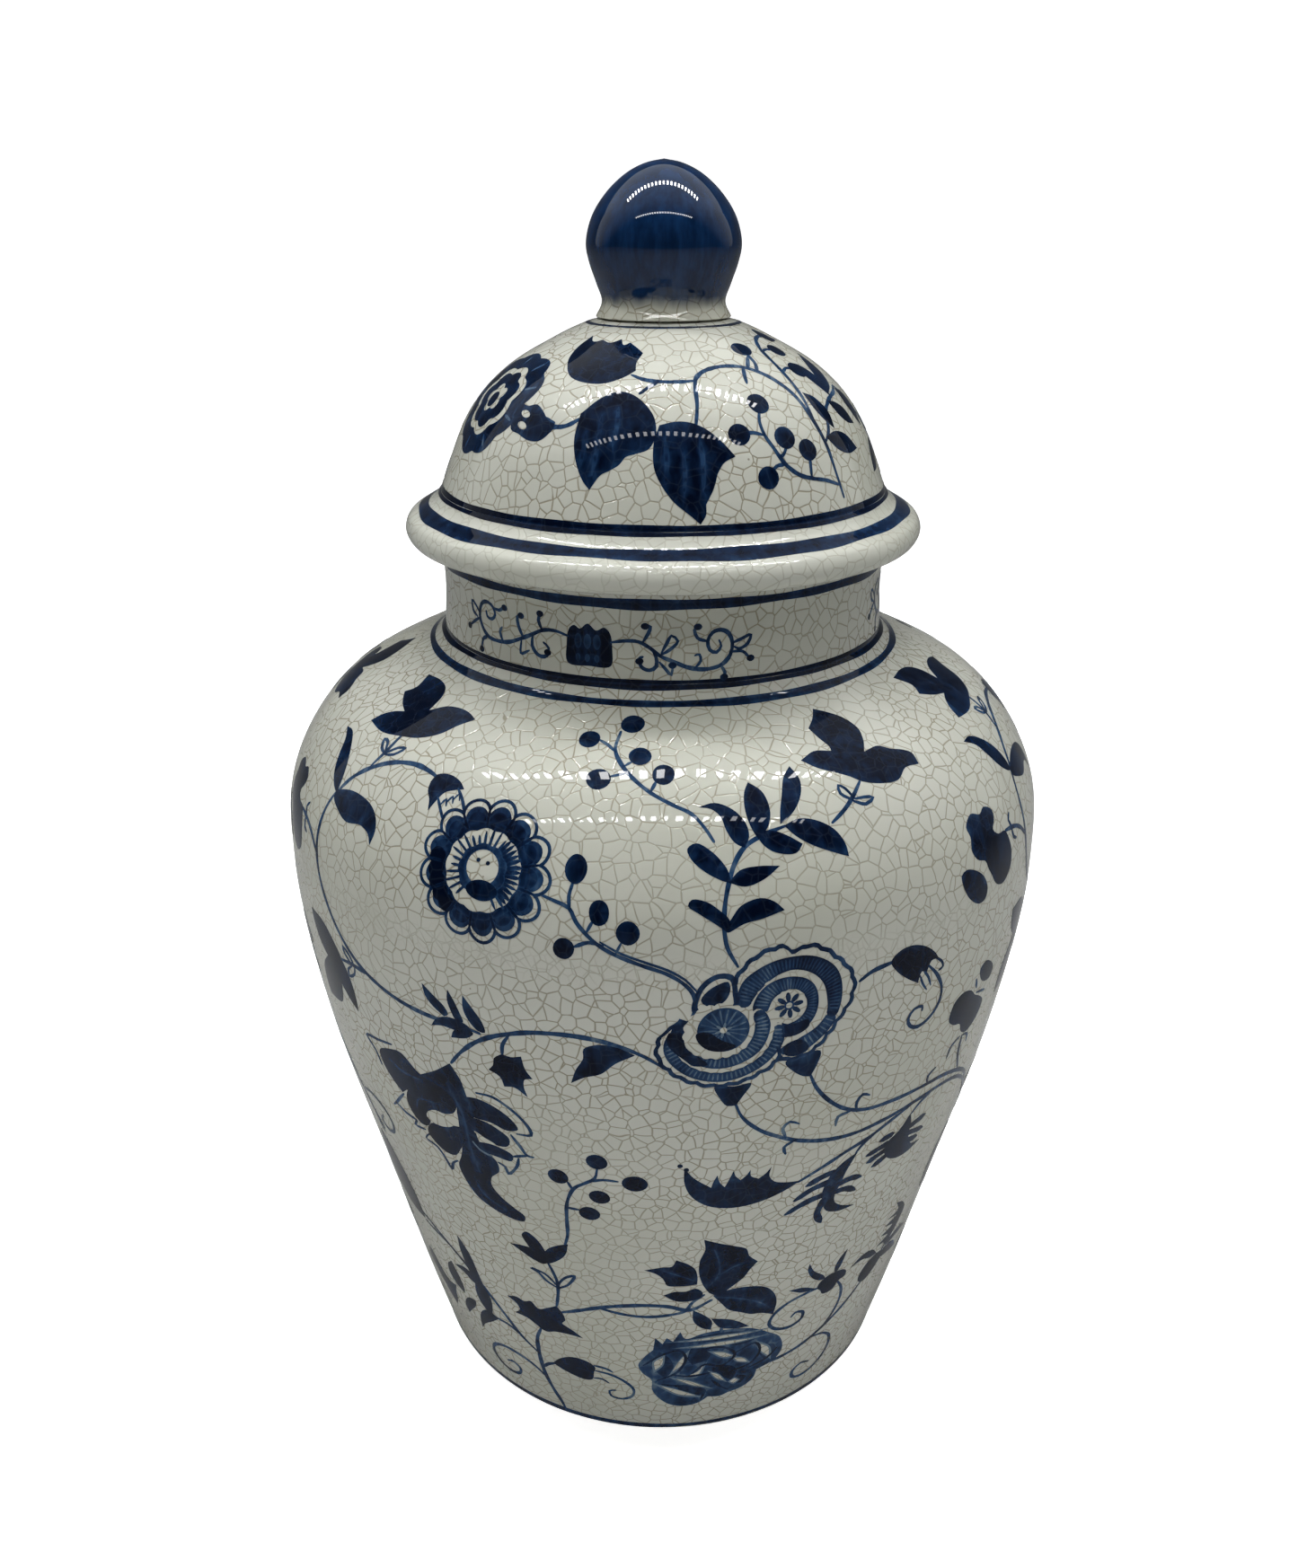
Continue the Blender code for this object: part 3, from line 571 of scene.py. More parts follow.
def paint_iris(art):
    """An iris with dark and outlined petals and a long tongue."""
    art.piece = "painted_iris"
    art.fill([(-35.4, 119, 1), (-37.5, 121), (-40, 124), (-43, 122.8), (-45.5, 120.5), (-45.4, 116.5),
              (-44, 113), (-42.2, 110.3, 1), (-41, 112), (-39.5, 114.2), (-37, 116.5)])
    art.fill([(-30.6, 115.2), (-34, 115.6), (-38, 115), (-40.5, 112.5), (-41.5, 108.6), (-41, 105),
              (-39.4, 102.8), (-38, 103.2), (-37, 105.5), (-36.8, 108), (-34.6, 109.8), (-31.4, 111.2)])
    art.fill([(-30.6, 108), (-34, 106.6), (-37, 104.8), (-38.3, 101), (-37, 98), (-35, 96.7),
              (-33.3, 97.3), (-32, 100), (-30.8, 104)])
    art.fill([(-29.4, 118), (-27, 119.6), (-24, 118.7), (-21.6, 116.2), (-20.7, 113.5), (-22.5, 112.3),
              (-25, 113.4), (-28.5, 113.6)])
    art.fill([(-28.6, 112.6), (-26, 113), (-24, 111.8), (-22.4, 109.8), (-22.8, 107.2), (-24.5, 106.4),
              (-27, 107.4), (-29, 109)])
    art.fill([(-28.8, 104.6), (-26.5, 106), (-24, 105.8), (-22.3, 104.5), (-22.7, 102.4), (-25, 102.5),
              (-28, 103)])
    for path in (
        [(-41.8, 125), (-45, 123.8), (-48.4, 122.4), (-46.8, 119.4), (-46.1, 115.6)],
        [(-26.6, 121.4), (-24, 121.6), (-21.9, 119.9), (-20.2, 117.6), (-18.9, 114.5), (-18.8, 112.6),
         (-21, 112)],
        [(-22, 111.2), (-20.8, 108.2), (-19.9, 105.7), (-18.9, 105.6)],
        [(-19.9, 105.6), (-21, 105), (-22.2, 104.2)],
        [(-21.4, 104), (-21.9, 101.2), (-23.7, 97.6), (-24, 99.8), (-25.1, 100.6)],
        [(-42, 110), (-43.6, 107.2), (-44.8, 105), (-46, 103.2)],
        [(-45, 104.6), (-43, 103.2), (-40.6, 102.7), (-41.3, 100.8), (-38.9, 101.2)],
        [(-38.3, 100.2), (-39.4, 98), (-37.2, 97), (-36, 94.2), (-35.2, 91), (-34.4, 93.8), (-33.2, 95.4)],
    ):
        art.line(path, 0.8)
    art.fill([(-30.3, 127.7, 1), (-29, 124), (-28.4, 119.5), (-27.8, 112), (-28, 107), (-27, 103),
              (-25.4, 100.8), (-25.3, 97.4), (-26.9, 94.5), (-27.4, 91.5), (-26.4, 88.4), (-24, 85.2),
              (-22.5, 83.4), (-22.7, 81.3), (-24.6, 80.8), (-28, 82), (-31, 84.6), (-32.6, 89),
              (-33.2, 94), (-32.1, 98), (-31.2, 103), (-31, 108), (-30.8, 112), (-31, 116.2),
              (-33.5, 118.8), (-37, 119.8, 1), (-33.4, 123.6)], 0.95)
    art.fill([(-39, 117.5), (-36, 119.8), (-32.5, 119), (-30.6, 116), (-31.2, 113.4), (-34, 113.8),
              (-38, 113.4), (-41, 112.4)])
    art.fill([(-30.6, 114.6, 1), (-31.5, 112.2), (-33.4, 110.6), (-35.2, 110.4), (-37, 108.6),
              (-37.6, 106.6), (-36.4, 105.4), (-33.6, 106.2), (-32, 108), (-31, 111.6)], 0.0)
    art.line([(-28.2, 108.6), (-26.8, 107.2), (-25, 106.5)], 1.0, ink=0.0)
    art.line([(-29, 105), (-28, 103), (-26, 102)], 0.7, ink=0.3)
    for path in ([(-31.6, 121), (-29.8, 113), (-29.7, 104), (-29.2, 95)],
                 [(-30.6, 92), (-29.6, 87), (-26, 83.4)], [(-43.6, 119.8), (-40.5, 118), (-37, 118.4)],
                 [(-39.4, 108), (-38.4, 111.4), (-34, 113)]):
        art.line(path, 0.5, ink=0.88)


def paint_feather_leaf(art):
    """A dark leaf with a toothed upper edge."""
    art.piece = "painted_feather_leaf"
    art.fill([(2.8, 106.6, 1), (4.2, 103.2), (6.8, 99.6, 1), (7.1, 101.6), (7.6, 103.6, 1), (8, 101.2),
              (8.8, 99.4, 1), (9.4, 102), (9.9, 104.6, 1), (10.3, 102.6), (11.1, 101.2, 1), (11.9, 102.6),
              (12.4, 104.2, 1), (12.6, 102), (13.8, 100.8, 1), (14.8, 102.2), (15.5, 104, 1),
              (15.4, 101.2), (16.4, 98.8), (18.4, 97.6), (20.6, 97, 1), (18, 94.6), (14, 92.4), (10, 91.9),
              (6.5, 93.4), (4, 97), (2.9, 101.6)])
    art.dab(2.2, 107.3, 0.6, 0.6)
    art.dab(3.1, 106, 0.6, 0.6)


def paint_thistles(art):
    """Two thistles with spread tufts."""
    art.piece = "painted_thistles"
    art.fill([(30.2, 100.6, 1), (28.9, 95), (28.4, 91), (27.9, 88), (28.2, 85), (29.8, 82.4), (33, 80, 1),
              (29.5, 80.4), (27, 82.4), (25.8, 86), (25.2, 90), (26, 95.6), (28, 99)])
    art.fill([(40.3, 105.4, 1), (38.5, 101.2), (36.6, 99.3), (36.1, 97), (37.5, 93), (40, 90.6), (43, 90),
              (46, 91.5, 1), (43.6, 92.4), (41.6, 97), (41.2, 101)])
    for path in (
        [(26.6, 96.5), (24.4, 96), (21.9, 94.3)], [(26, 93.4), (23.2, 92.6), (20.3, 90)],
        [(25.8, 89.2), (22.4, 88.2), (19.2, 85.6)], [(28, 91.2), (30.4, 91.6), (32.6, 90.4)],
        [(27.6, 88.6), (30, 88.2), (32.1, 86)], [(25.9, 87.2), (25.3, 82.4), (26.6, 78.3)],
        [(37, 101.2), (34.4, 101)], [(36.4, 98.6), (32.3, 97.7)], [(36.4, 96.4), (32.9, 94.9)],
        [(37.6, 94.2), (34.4, 92.3)], [(40.6, 100.2), (44.9, 101)], [(41.2, 98), (45.6, 96)],
        [(41.8, 94.9), (44.6, 93.9)],
    ):
        art.line(path, 1.9, ink=0.95, ends=(1.0, 0.3))


def paint_buds(art):
    """Buds with pointed sepals."""
    art.piece = "painted_buds"
    art.fill([(30, 154.3), (31.5, 156.2), (33.5, 156.4), (35.8, 155), (37.8, 152.4), (38.6, 150.5, 1),
              (37.2, 150.7), (36.5, 148.4, 1), (35.5, 149), (35, 146.4, 1), (33, 148.6), (31, 151.5)])
    art.fill([(-23.4, 23.4, 1), (-21.5, 26.5), (-18.5, 28.8), (-15.5, 28.5), (-13.8, 26.4), (-14.2, 24),
              (-14.8, 20.6), (-16.5, 19.8), (-20, 21), (-22.3, 22.4)])
    art.fill([(30.4, 51.6), (32, 53.3), (35, 53.2), (37, 51.5), (37.2, 49.3), (35.6, 48.7), (34.8, 46.4),
              (33.5, 45.8), (32, 46.4), (31.2, 48.4), (30.3, 49.8)])
    art.fill([(26.8, 62.2, 1), (28.2, 58.5), (31, 54.5), (31.7, 52.8, 1), (30, 53.4), (27.8, 56.5),
              (26.7, 60)])
    art.fill([(35.4, 61.2, 1), (35.2, 57.5), (34.8, 54.8), (34, 52.8, 1), (33.4, 55.5), (34.1, 59)])
    art.fill([(23.6, 53.7, 1), (26.5, 53), (29.8, 50.3, 1), (26.8, 50.9)])
    art.fill([(42.5, 43.8), (44, 47.4), (47, 48.4), (49.9, 46.4), (49, 43), (46.6, 39.8), (45, 39.4),
              (43, 41.2)])
    art.fill([(47.4, 67.2, 1), (50.5, 64.4), (52.5, 60), (52, 55), (50.2, 50), (48.4, 46.6, 1),
              (48.6, 50.8), (45.6, 52.2, 1), (49, 53.6), (46, 55.8, 1), (49.6, 56.8), (46.3, 59.2, 1),
              (49.8, 60.2), (46.2, 62, 1), (49.4, 62.4)])
    art.fill([(38.2, 51.2, 1), (41, 53.4), (44.3, 52.4), (46.8, 48.6, 1), (44, 49.6), (41.4, 51.4)])
    art.fill([(49.6, 47.8, 1), (54, 46), (56.8, 41.2, 1), (53, 42.8), (49.4, 44.6)])
    art.fill([(50, 50.4, 1), (55, 50.8), (58.4, 47.8, 1), (54.6, 48.2), (49.8, 48.6)])


def paint_strawberry_leaves(art):
    """A spray of broad lobed leaves over the rose."""
    art.piece = "painted_strawberry_leaves"
    for points in (
        [(8, 60, 1), (6.8, 63.5), (6, 68), (6, 73), (6.7, 77), (6.4, 81, 1), (9, 79), (11.5, 77.3),
         (13.6, 75.5), (14.3, 72.6), (16, 69.7, 1), (14.8, 67), (14, 64.5), (12, 61.4), (9.6, 58.6)],
        [(-3.1, 69.7, 1), (0, 71), (1.4, 71.2), (2.1, 73.7, 1), (4, 72), (5.3, 69.8), (5.8, 66.5),
         (5.8, 63.8, 1), (3, 63.4), (0.7, 63.8), (0, 66.4), (-1.3, 68.5)],
        [(0.1, 59.9, 1), (2, 61.2), (4, 61.2), (5.6, 62.2), (6.9, 60.3), (6.7, 58.4), (4.5, 57.2),
         (2.3, 57.5)],
        [(8.8, 58.6, 1), (12, 60.3), (15.5, 60), (18.5, 58.3), (20.6, 54.5), (21.4, 50.5), (21.2, 45.8, 1),
         (18.6, 47.8), (16.5, 48.4), (14.5, 50), (12, 52), (10.5, 55)],
        [(5.4, 53.4, 1), (7.5, 51), (9.1, 48), (9, 44.6, 1), (7.2, 45.8), (5.6, 49)],
        [(8.9, 49.2, 1), (11.5, 48.3), (14, 46.5), (16.6, 43.3, 1), (13.5, 43.6), (10.8, 45), (9.7, 47)],
    ):
        art.fill(points)
    for path in ([(7.6, 62), (9.4, 67), (9.2, 72), (8.2, 77)], [(9.4, 66.6), (12, 69.4), (13.6, 70)],
                 [(9.6, 57.8), (13, 56.4), (17.4, 53), (20, 49.4)], [(5.2, 65.4), (3, 67.4), (0, 69.6)]):
        art.line(path, 0.45, ink=0.88)


def paint_rose(art):
    """A rose: a mid-blue bloom under darker petals and pale folds."""
    art.piece = "painted_rose"
    art.fill([(-4.8, 30), (-3.4, 34), (-1.8, 37, 1), (-1.4, 42.2, 1), (0, 39.6, 1), (0.8, 42.2, 1),
              (2, 40.6, 1), (3.3, 44.6, 1), (4.4, 41.6), (8, 43.4), (12.5, 43.6), (17, 42.2), (21, 38.4),
              (24, 34.5), (25.3, 28.6), (24, 24.6), (20.2, 22.4, 1), (19.8, 18.8), (17.6, 15.8),
              (14.4, 14.6, 1), (12.6, 13.6), (10, 14.2, 1), (8, 11.8), (4.8, 10.8), (1.8, 11.8),
              (-0.6, 14.8), (-2.1, 19), (-2.2, 23.6), (-4, 26.6)], 0.7)
    for points in (
        [(4.4, 40.8, 1), (8, 42.4), (12.8, 42.6), (18, 40.4, 1), (13, 39.6), (8, 39.6)],
        [(12, 37.4, 1), (15, 38.4), (19, 37.2, 1), (15.5, 35.8)],
        [(-0.6, 36.4, 1), (1.6, 33), (2.2, 28.4), (0.6, 24.4, 1), (-1, 27), (-2.2, 31)],
        [(6.2, 38.2, 1), (9.4, 35.6), (9, 31.8), (6, 30, 1), (4.9, 33), (5, 36)],
        [(19.6, 33, 1), (22.8, 32.4), (23.8, 28.6), (21.6, 26.2, 1), (20.4, 28.6)],
        [(10, 28, 1), (13.6, 27.8), (15.6, 24.6), (14.8, 20.6, 1), (12.6, 22.6), (10.6, 25)],
        [(3, 21.4, 1), (6.4, 20.4), (9.4, 17.6), (9.2, 15.4, 1), (6.4, 15.6), (3.8, 18)],
        [(15.8, 22.4, 1), (18, 20.8), (17, 18, 1), (15.2, 19)],
    ):
        art.fill(points, 0.95)
    for points in (
        [(0, 33.4, 1), (-1.4, 31.6), (-1.3, 28.6, 1), (-0.2, 30.6)],
        [(4.6, 34.6, 1), (3.3, 31.6), (2.3, 28, 1), (3.9, 30.4)],
        [(8.2, 29.2, 1), (7.2, 26.8), (5.4, 25.2, 1), (7.2, 25.4)],
        [(10.2, 34.4, 1), (12.2, 32), (13.9, 31.8, 1), (12, 33.8)],
        [(14.8, 30.2, 1), (15.6, 28.6), (17.4, 27.6, 1), (16.3, 29.6)],
        [(19.6, 34, 1), (20.3, 31), (22.2, 27.7, 1), (21.7, 31.2)],
        [(10.2, 25.2, 1), (11.4, 22.6), (12.9, 21.2, 1), (11.6, 24)],
        [(3.2, 23.6, 1), (5.7, 22.4), (8.8, 19.4, 1), (6, 20.9)],
        [(0.2, 20.4, 1), (3.3, 18.6), (6.8, 15.7, 1), (3.5, 16.8)],
        [(14.6, 19.8, 1), (15.4, 18.8), (16.2, 19.7, 1), (15.4, 20.6)],
        [(5, 40.5, 1), (11, 41.3), (17.2, 40.3, 1), (11, 40.3)],
        [(6, 37.8, 1), (11.5, 38.5), (17.3, 37.6, 1), (11.5, 37.3)],
    ):
        middle = np.mean([point[:2] for point in points], axis=0)
        for grow, ink in ((1.75, 0.36), (1.2, 0.0)):
            art.fill([(*(middle + grow * (point[:2] - middle)), *point[2:]) for point in points], ink)
    for path in ([(-3.8, 30), (0, 35), (3.4, 36.6), (4.6, 33), (3, 27), (-1, 23.4)],
                 [(4.8, 33), (8.6, 36.6), (12, 36.2), (14.6, 32), (12, 28), (8.6, 29.6), (6, 26)],
                 [(14.8, 33), (18.6, 35.2), (20, 31), (18.4, 26.4), (14.6, 25)],
                 [(2, 26), (5.6, 24.8), (9.8, 25.6)], [(0, 21.6), (4.6, 20), (8.8, 16.6), (8.4, 13)],
                 [(10.4, 22), (12.4, 18.4), (14.4, 16)], [(18, 24.4), (22, 26.6), (24, 30)]):
        art.line(path, 0.8, ink=1.0)


def paint_body(art):
    """One third of the body. A motif covers the ones before it where they meet."""
    for paint_motif in (paint_vines, paint_leaflets, paint_berries, paint_lobed_flowers, paint_leaves,
                        paint_rosettes, paint_double_flower, paint_iris, paint_feather_leaf,
                        paint_thistles, paint_buds, paint_strawberry_leaves, paint_rose):
        paint_motif(art)


def paint_neck(art):
    """One third of the neck: a small crown between two running scrolls."""
    art.piece = "painted_neck_scroll"
    art.fill([(-23.2, 3.8), (-23.3, 7.6), (-22.8, 10.8), (-21.4, 11.9), (-20, 11.2), (-18, 12.5),
              (-16, 11.1), (-14, 11.9), (-12.6, 10.6), (-12.1, 7), (-12.3, 3.8), (-17.6, 3.3)], 1.1)
    for turn in (-20.4, -18.1, -15.8):
        art.dab(turn, 8.6, 0.85, 1.7, ink=0.86)
        art.dab(turn, 5.0, 0.6, 0.9, ink=0.88)
    for width, *path in (
        (0.9, (-23, 9.3), (-26, 10), (-29.5, 9.8), (-33, 8.3), (-36.5, 6.8), (-40, 5.5), (-44, 5),
         (-47.5, 5.3), (-50, 7), (-51.2, 9.4), (-50.4, 12), (-48, 13.1), (-45.6, 12.3), (-44.9, 10.7),
         (-46.2, 9.5), (-48, 9.8), (-48.4, 10.9)),
        (0.8, (-45.2, 12.2), (-43.4, 12), (-41.6, 12.9)), (0.8, (-48, 5.2), (-49.8, 4.2), (-50.2, 2.2)),
        (0.7, (-51.3, 8.8), (-53.6, 7.6), (-55.8, 6.2)),
        (0.7, (-51.3, 10), (-53, 11.5), (-54.7, 12.2), (-54.3, 10), (-52.2, 8.9)),
        (0.8, (-30, 9.9), (-30.9, 11.8), (-30.3, 13.4)),
        (0.8, (-35.5, 7.3), (-37, 9.8), (-37.2, 11.6), (-36, 12.1)),
        (0.8, (-32.6, 8.3), (-32.8, 6), (-31, 4.1), (-28.6, 4.3), (-28.1, 6), (-29.6, 7.1)),
        (0.7, (-36, 6.8), (-36.2, 3.7), (-33.6, 4.7)), (0.7, (-42, 5.2), (-43.2, 7.2), (-42.4, 8.4)),
        (0.9, (-12.4, 8.8), (-9, 9.3), (-6, 9.2), (-3.5, 8), (-1, 6.2), (2, 5), (5, 3.8), (8, 3.2),
         (11, 3.3), (13.5, 4.1), (15.3, 6), (15.8, 8.5), (14.9, 10.6), (13, 11.5), (11, 11), (9.9, 9.2),
         (10.4, 7.3), (12, 6.7), (13.1, 8), (12.6, 9.3)),
        (0.8, (-5, 9.2), (-3.8, 11), (-3.3, 12.5), (-4.6, 12.7)),
        (0.8, (-3, 7.7), (-2, 6), (-1.9, 4), (-3.5, 3.1), (-5.4, 3.9), (-5.9, 5.5), (-5, 6)),
        (0.7, (-1, 6.4), (1.2, 7.6), (3, 9.4), (1.5, 10.6), (0.5, 9), (-0.8, 6.8)),
        (0.7, (-1.2, 4.9), (0.4, 3.2), (1.5, 2.1), (1.9, 4.4)),
        (0.7, (7, 3.6), (8.3, 5), (8, 6.4), (6.9, 6.2)),
        (0.7, (9.8, 9.2), (7.5, 10), (6.8, 11.8), (7.7, 12.5)),
        (0.7, (15.8, 8.5), (18, 9.2), (20.4, 9.9), (19.6, 8.1), (17.4, 7.1), (16, 7.8)),
        (0.7, (15.4, 6.6), (18.4, 6.4), (20, 4.9)), (0.8, (13, 3.8), (14, 2.2), (13.8, 1.2)),
    ):
        art.line(path, width)
    for turn, rise in ((-41.4, 12.9), (-50.2, 1.9), (-36.1, 12), (-30.4, 13.3), (7.6, 12.4), (13.8, 1.2),
                       (1.8, 4.2), (-4.5, 12.6), (-56, 6.1), (20.3, 4.8), (-28.4, 5), (-5.8, 5)):
        art.dab(turn, rise, 0.9, 0.75)


def paint_lid_vines(art):
    """One running stem across half of the lid, and its tendrils."""
    art.piece = "painted_lid_vines"
    for width, *path in (
        (1.1, (-49, 21.5), (-45, 21.8), (-40, 20.8), (-33, 20.5), (-28, 21), (-24, 23)),
        (1.0, (-45, 22.6), (-38, 22.4), (-32, 21.4)),
        (1.0, (-12, 35), (-7, 33.6), (0, 33), (6, 33), (9.8, 33.2)),
        (0.9, (-8, 29.6), (-5.4, 31.4), (-2.6, 32.8)),
        (1.1, (8.4, 22), (9.5, 27), (9.8, 31), (10.4, 33.4), (13, 35.5), (18, 37), (24, 37.5), (30, 37),
         (35, 35.5), (40, 32.5), (44, 28), (46, 22), (47.5, 16), (48.2, 10), (49, 3.5)),
        (0.9, (33, 36.4), (35.4, 38.4), (37.8, 40.2)), (0.9, (31, 36.6), (29.4, 34.2), (28.4, 31.8)),
        (0.9, (28.4, 25), (27, 22), (27.4, 19), (29, 16.2), (31.4, 12.6), (35, 10), (39, 8.8), (44, 7.8),
         (48.2, 6.4)),
        (0.8, (21, 19.5), (24, 19.7), (27.2, 19)), (0.8, (33.5, 16.6), (31.8, 14.6), (30.4, 14)),
        (0.8, (26.6, 10.6), (28.8, 12.2), (31.4, 12.4)), (0.8, (40, 13.4), (39.4, 11), (39, 8.9)),
        (0.9, (38.8, 41.2), (38.4, 38), (36, 35.2)),
        (1.0, (47.6, 15.6), (51, 18), (54, 22), (58, 24), (63, 25.3), (68, 26), (73, 27.4)),
        (1.0, (46.4, 20), (47.4, 28), (48, 36), (50, 41.6), (55, 45), (62, 46.6), (69, 46.4), (74, 44)),
        (0.8, (48, 34), (51.6, 35), (56, 34.4)), (0.8, (50, 41.4), (54, 42), (59.6, 41.2)),
        (0.9, (84, 4), (83, 11), (80, 17), (76.5, 22.4), (73, 27.4)),
    ):
        art.line(path, width)


def paint_lid_berries(art):
    """Berries on the lid's stem."""
    art.piece = "painted_lid_berries"
    for turn, rise, size in ((28.8, 26.3, 2.5), (20, 19.5, 2.4), (33.5, 18, 2.5), (40, 14.8, 2.4),
                             (26, 10, 2.4), (38.8, 43, 2.4), (61, 41, 2.3), (57.5, 34, 2.4)):
        art.dab(turn, rise, size, size)


def paint_lid_leaves(art):
    """A lobed leaf, two long ones beside the front, and slim ones towards the back."""
    art.piece = "painted_lid_leaves"
    for points in (
        [(-45.2, 48.2, 1), (-46, 44), (-44, 40), (-40, 36.5), (-35, 33.5), (-27, 32), (-20, 32.3),
         (-14, 34.4), (-10.8, 36.4, 1), (-11.4, 39), (-9.8, 42.6, 1), (-13, 44.3), (-18, 46.4, 1),
         (-21, 45.4), (-24, 47.6, 1), (-29, 46), (-35, 46.9, 1), (-40, 46)],
        [(-24.6, 24, 1), (-20, 28), (-15, 30), (-10, 29.3), (-6, 27), (-3, 23.6), (-2.4, 20), (-4, 17),
         (-8, 15.6, 1), (-10, 15), (-11.4, 13.4), (-14, 12, 1), (-16, 11), (-18.3, 8, 1), (-20.5, 10),
         (-23, 14), (-24.5, 18.4)],
        [(-1.6, 22, 1), (3, 22.8), (7, 22.5), (11, 21), (15, 18), (17.9, 14.9, 1), (14.6, 13.6),
         (12.8, 11.5, 1), (11.6, 8.6), (9.5, 5.4, 1), (9.4, 3.4), (8, 1.4, 1), (5.5, 3.4), (2, 6),
         (-1, 9.5), (-2.8, 13), (-3, 18)],
        [(48.8, 27.8, 1), (53, 26), (55.4, 22), (54.4, 18.2, 1), (51.6, 20.4), (49.4, 23.6)],
        [(57.8, 36.4, 1), (62.6, 35), (65.6, 31), (63.2, 25.2, 1), (60.6, 28.4), (58.4, 32)],
        [(58.8, 24.6, 1), (63, 23.8), (67, 21.4), (68.4, 17.8, 1), (64, 18.6), (60.6, 21)],
        [(48.8, 16.8, 1), (54, 17.6), (59, 16.2), (62.8, 12.6, 1), (57, 12.2), (52, 13.8)],
        [(63, 26, 1), (66, 31.6), (71.6, 35.8), (78.4, 38.2, 1), (76, 32.6), (71, 28.4)],
        [(72, 26.6, 1), (76.4, 25.2), (78, 21), (75.2, 16.4, 1), (72.4, 19.6), (71.2, 23)],
        [(66.8, 47, 1), (71, 49.4), (76, 48.2), (79.6, 44, 1), (74.6, 43.8), (69.6, 44.4)],
        [(80, 17, 1), (85.4, 20.4), (91, 19.8), (95.2, 15.6, 1), (90, 14), (84.6, 14.2)],
        [(83.4, 8.4, 1), (88.4, 8.8), (93, 6.2), (95.4, 2.4, 1), (90, 2.8), (86, 4.8)],
        [(82, 12.4, 1), (78, 12.8), (73.8, 10.4), (71, 6, 1), (75.6, 6.4), (79.6, 8.6)],
    ):
        art.fill(points)
    for turn, low, high in ((-21.6, 12, 20), (-18, 11, 24), (-13.6, 17, 26), (0, 9, 19), (4.4, 7, 17),
                            (9, 8, 19)):
        art.line([(turn, low), (turn + 0.4, 0.5 * (low + high)), (turn, high)], 0.9, ink=0.93,
                 ends=(0.2, 0.2))
    art.fill([(-37, 36.2), (-26, 38.6), (-12, 38.8), (-11, 36.6), (-19, 33.4), (-28, 33.2)], 1.0)


def paint_lid_rosette(art):
    """Scalloped rings of blue and white round a dark eye, with rays in the outer one."""
    art.piece = "painted_lid_rosette"
    for reach, lobes, ink in ((14.2, 9, 0.92), (9.4, 7, 0.0), (7.6, 7, 0.92), (3.9, 5, 0.0)):
        art.mark(art.rim(-64.5, 25.0, reach, lobes, 1.2), ink)
    art.dab(-64.8, 24.4, 1.9, 2.0)
    for angle in np.arange(20.0, 380.0, 40.0):
        art.ray(-64.5, 25.0, angle, (10.0, 12.8), 0.6, 0.6)
    art.fill([(-48.4, 24.6), (-44, 24.6), (-41, 25.2), (-37.4, 23.8), (-34.6, 22), (-31.4, 20.8),
              (-33, 18.6), (-35, 17.2), (-39, 17), (-43, 18), (-47.2, 19.2)], 0.9)
    for turn, rise in ((-43.6, 22.7), (-43.0, 20.0)):
        art.dab(turn, rise, 1.5, 0.8, -20.0, 0.0)


def paint_dome(art):
    """Half of the lid's dome."""
    for paint_motif in (paint_lid_vines, paint_lid_berries, paint_lid_leaves, paint_lid_rosette):
        paint_motif(art)


body_painting = Painting(BODY_WALL, 3)
paint_body(body_painting)
neck_painting = Painting(NECK_WALL, 3)
paint_neck(neck_painting)
dome_painting = Painting(DOME_WALL, 2)
paint_dome(dome_painting)


# --- Meshes ----------------------------------------------------------------------------------

def circled(points, outline):
    """True for the points that an outline goes round."""
    x, y = points[:, 0][:, None], points[:, 1][:, None]
    (ax, ay), (bx, by) = outline.T, np.roll(outline, -1, axis=0).T
    side = (bx - ax) * (y - ay) - (x - ax) * (by - ay)
    up = (ay <= y) & (by > y) & (side > 0)
    down = (ay > y) & (by <= y) & (side < 0)
    return (up.sum(1) - down.sum(1)) != 0


def in_box(points, outline):
    return np.flatnonzero(((points >= outline.min(0)) & (points <= outline.max(0))).all(1))


def make_mesh(name, verts, faces, normals=None, points=None, ink=None):
    """A smooth mesh object. points and ink are values kept on its vertices and faces."""
    mesh = bpy.data.meshes.new(name)
    mesh.from_pydata(verts.tolist(), [], faces)
    mesh.shade_smooth()
    for label, values in (points or {}).items():
        mesh.attributes.new(label, "FLOAT", "POINT").data.foreach_set("value", values.astype(np.float32))
    if ink is not None:
        mesh.attributes.new("ink", "FLOAT", "FACE").data.foreach_set("value", ink.astype(np.float32))
    if normals is not None:
        mesh.normals_split_custom_set(normals)
    piece = bpy.data.objects.new(name, mesh)
    bpy.context.scene.collection.objects.link(piece)
    return piece


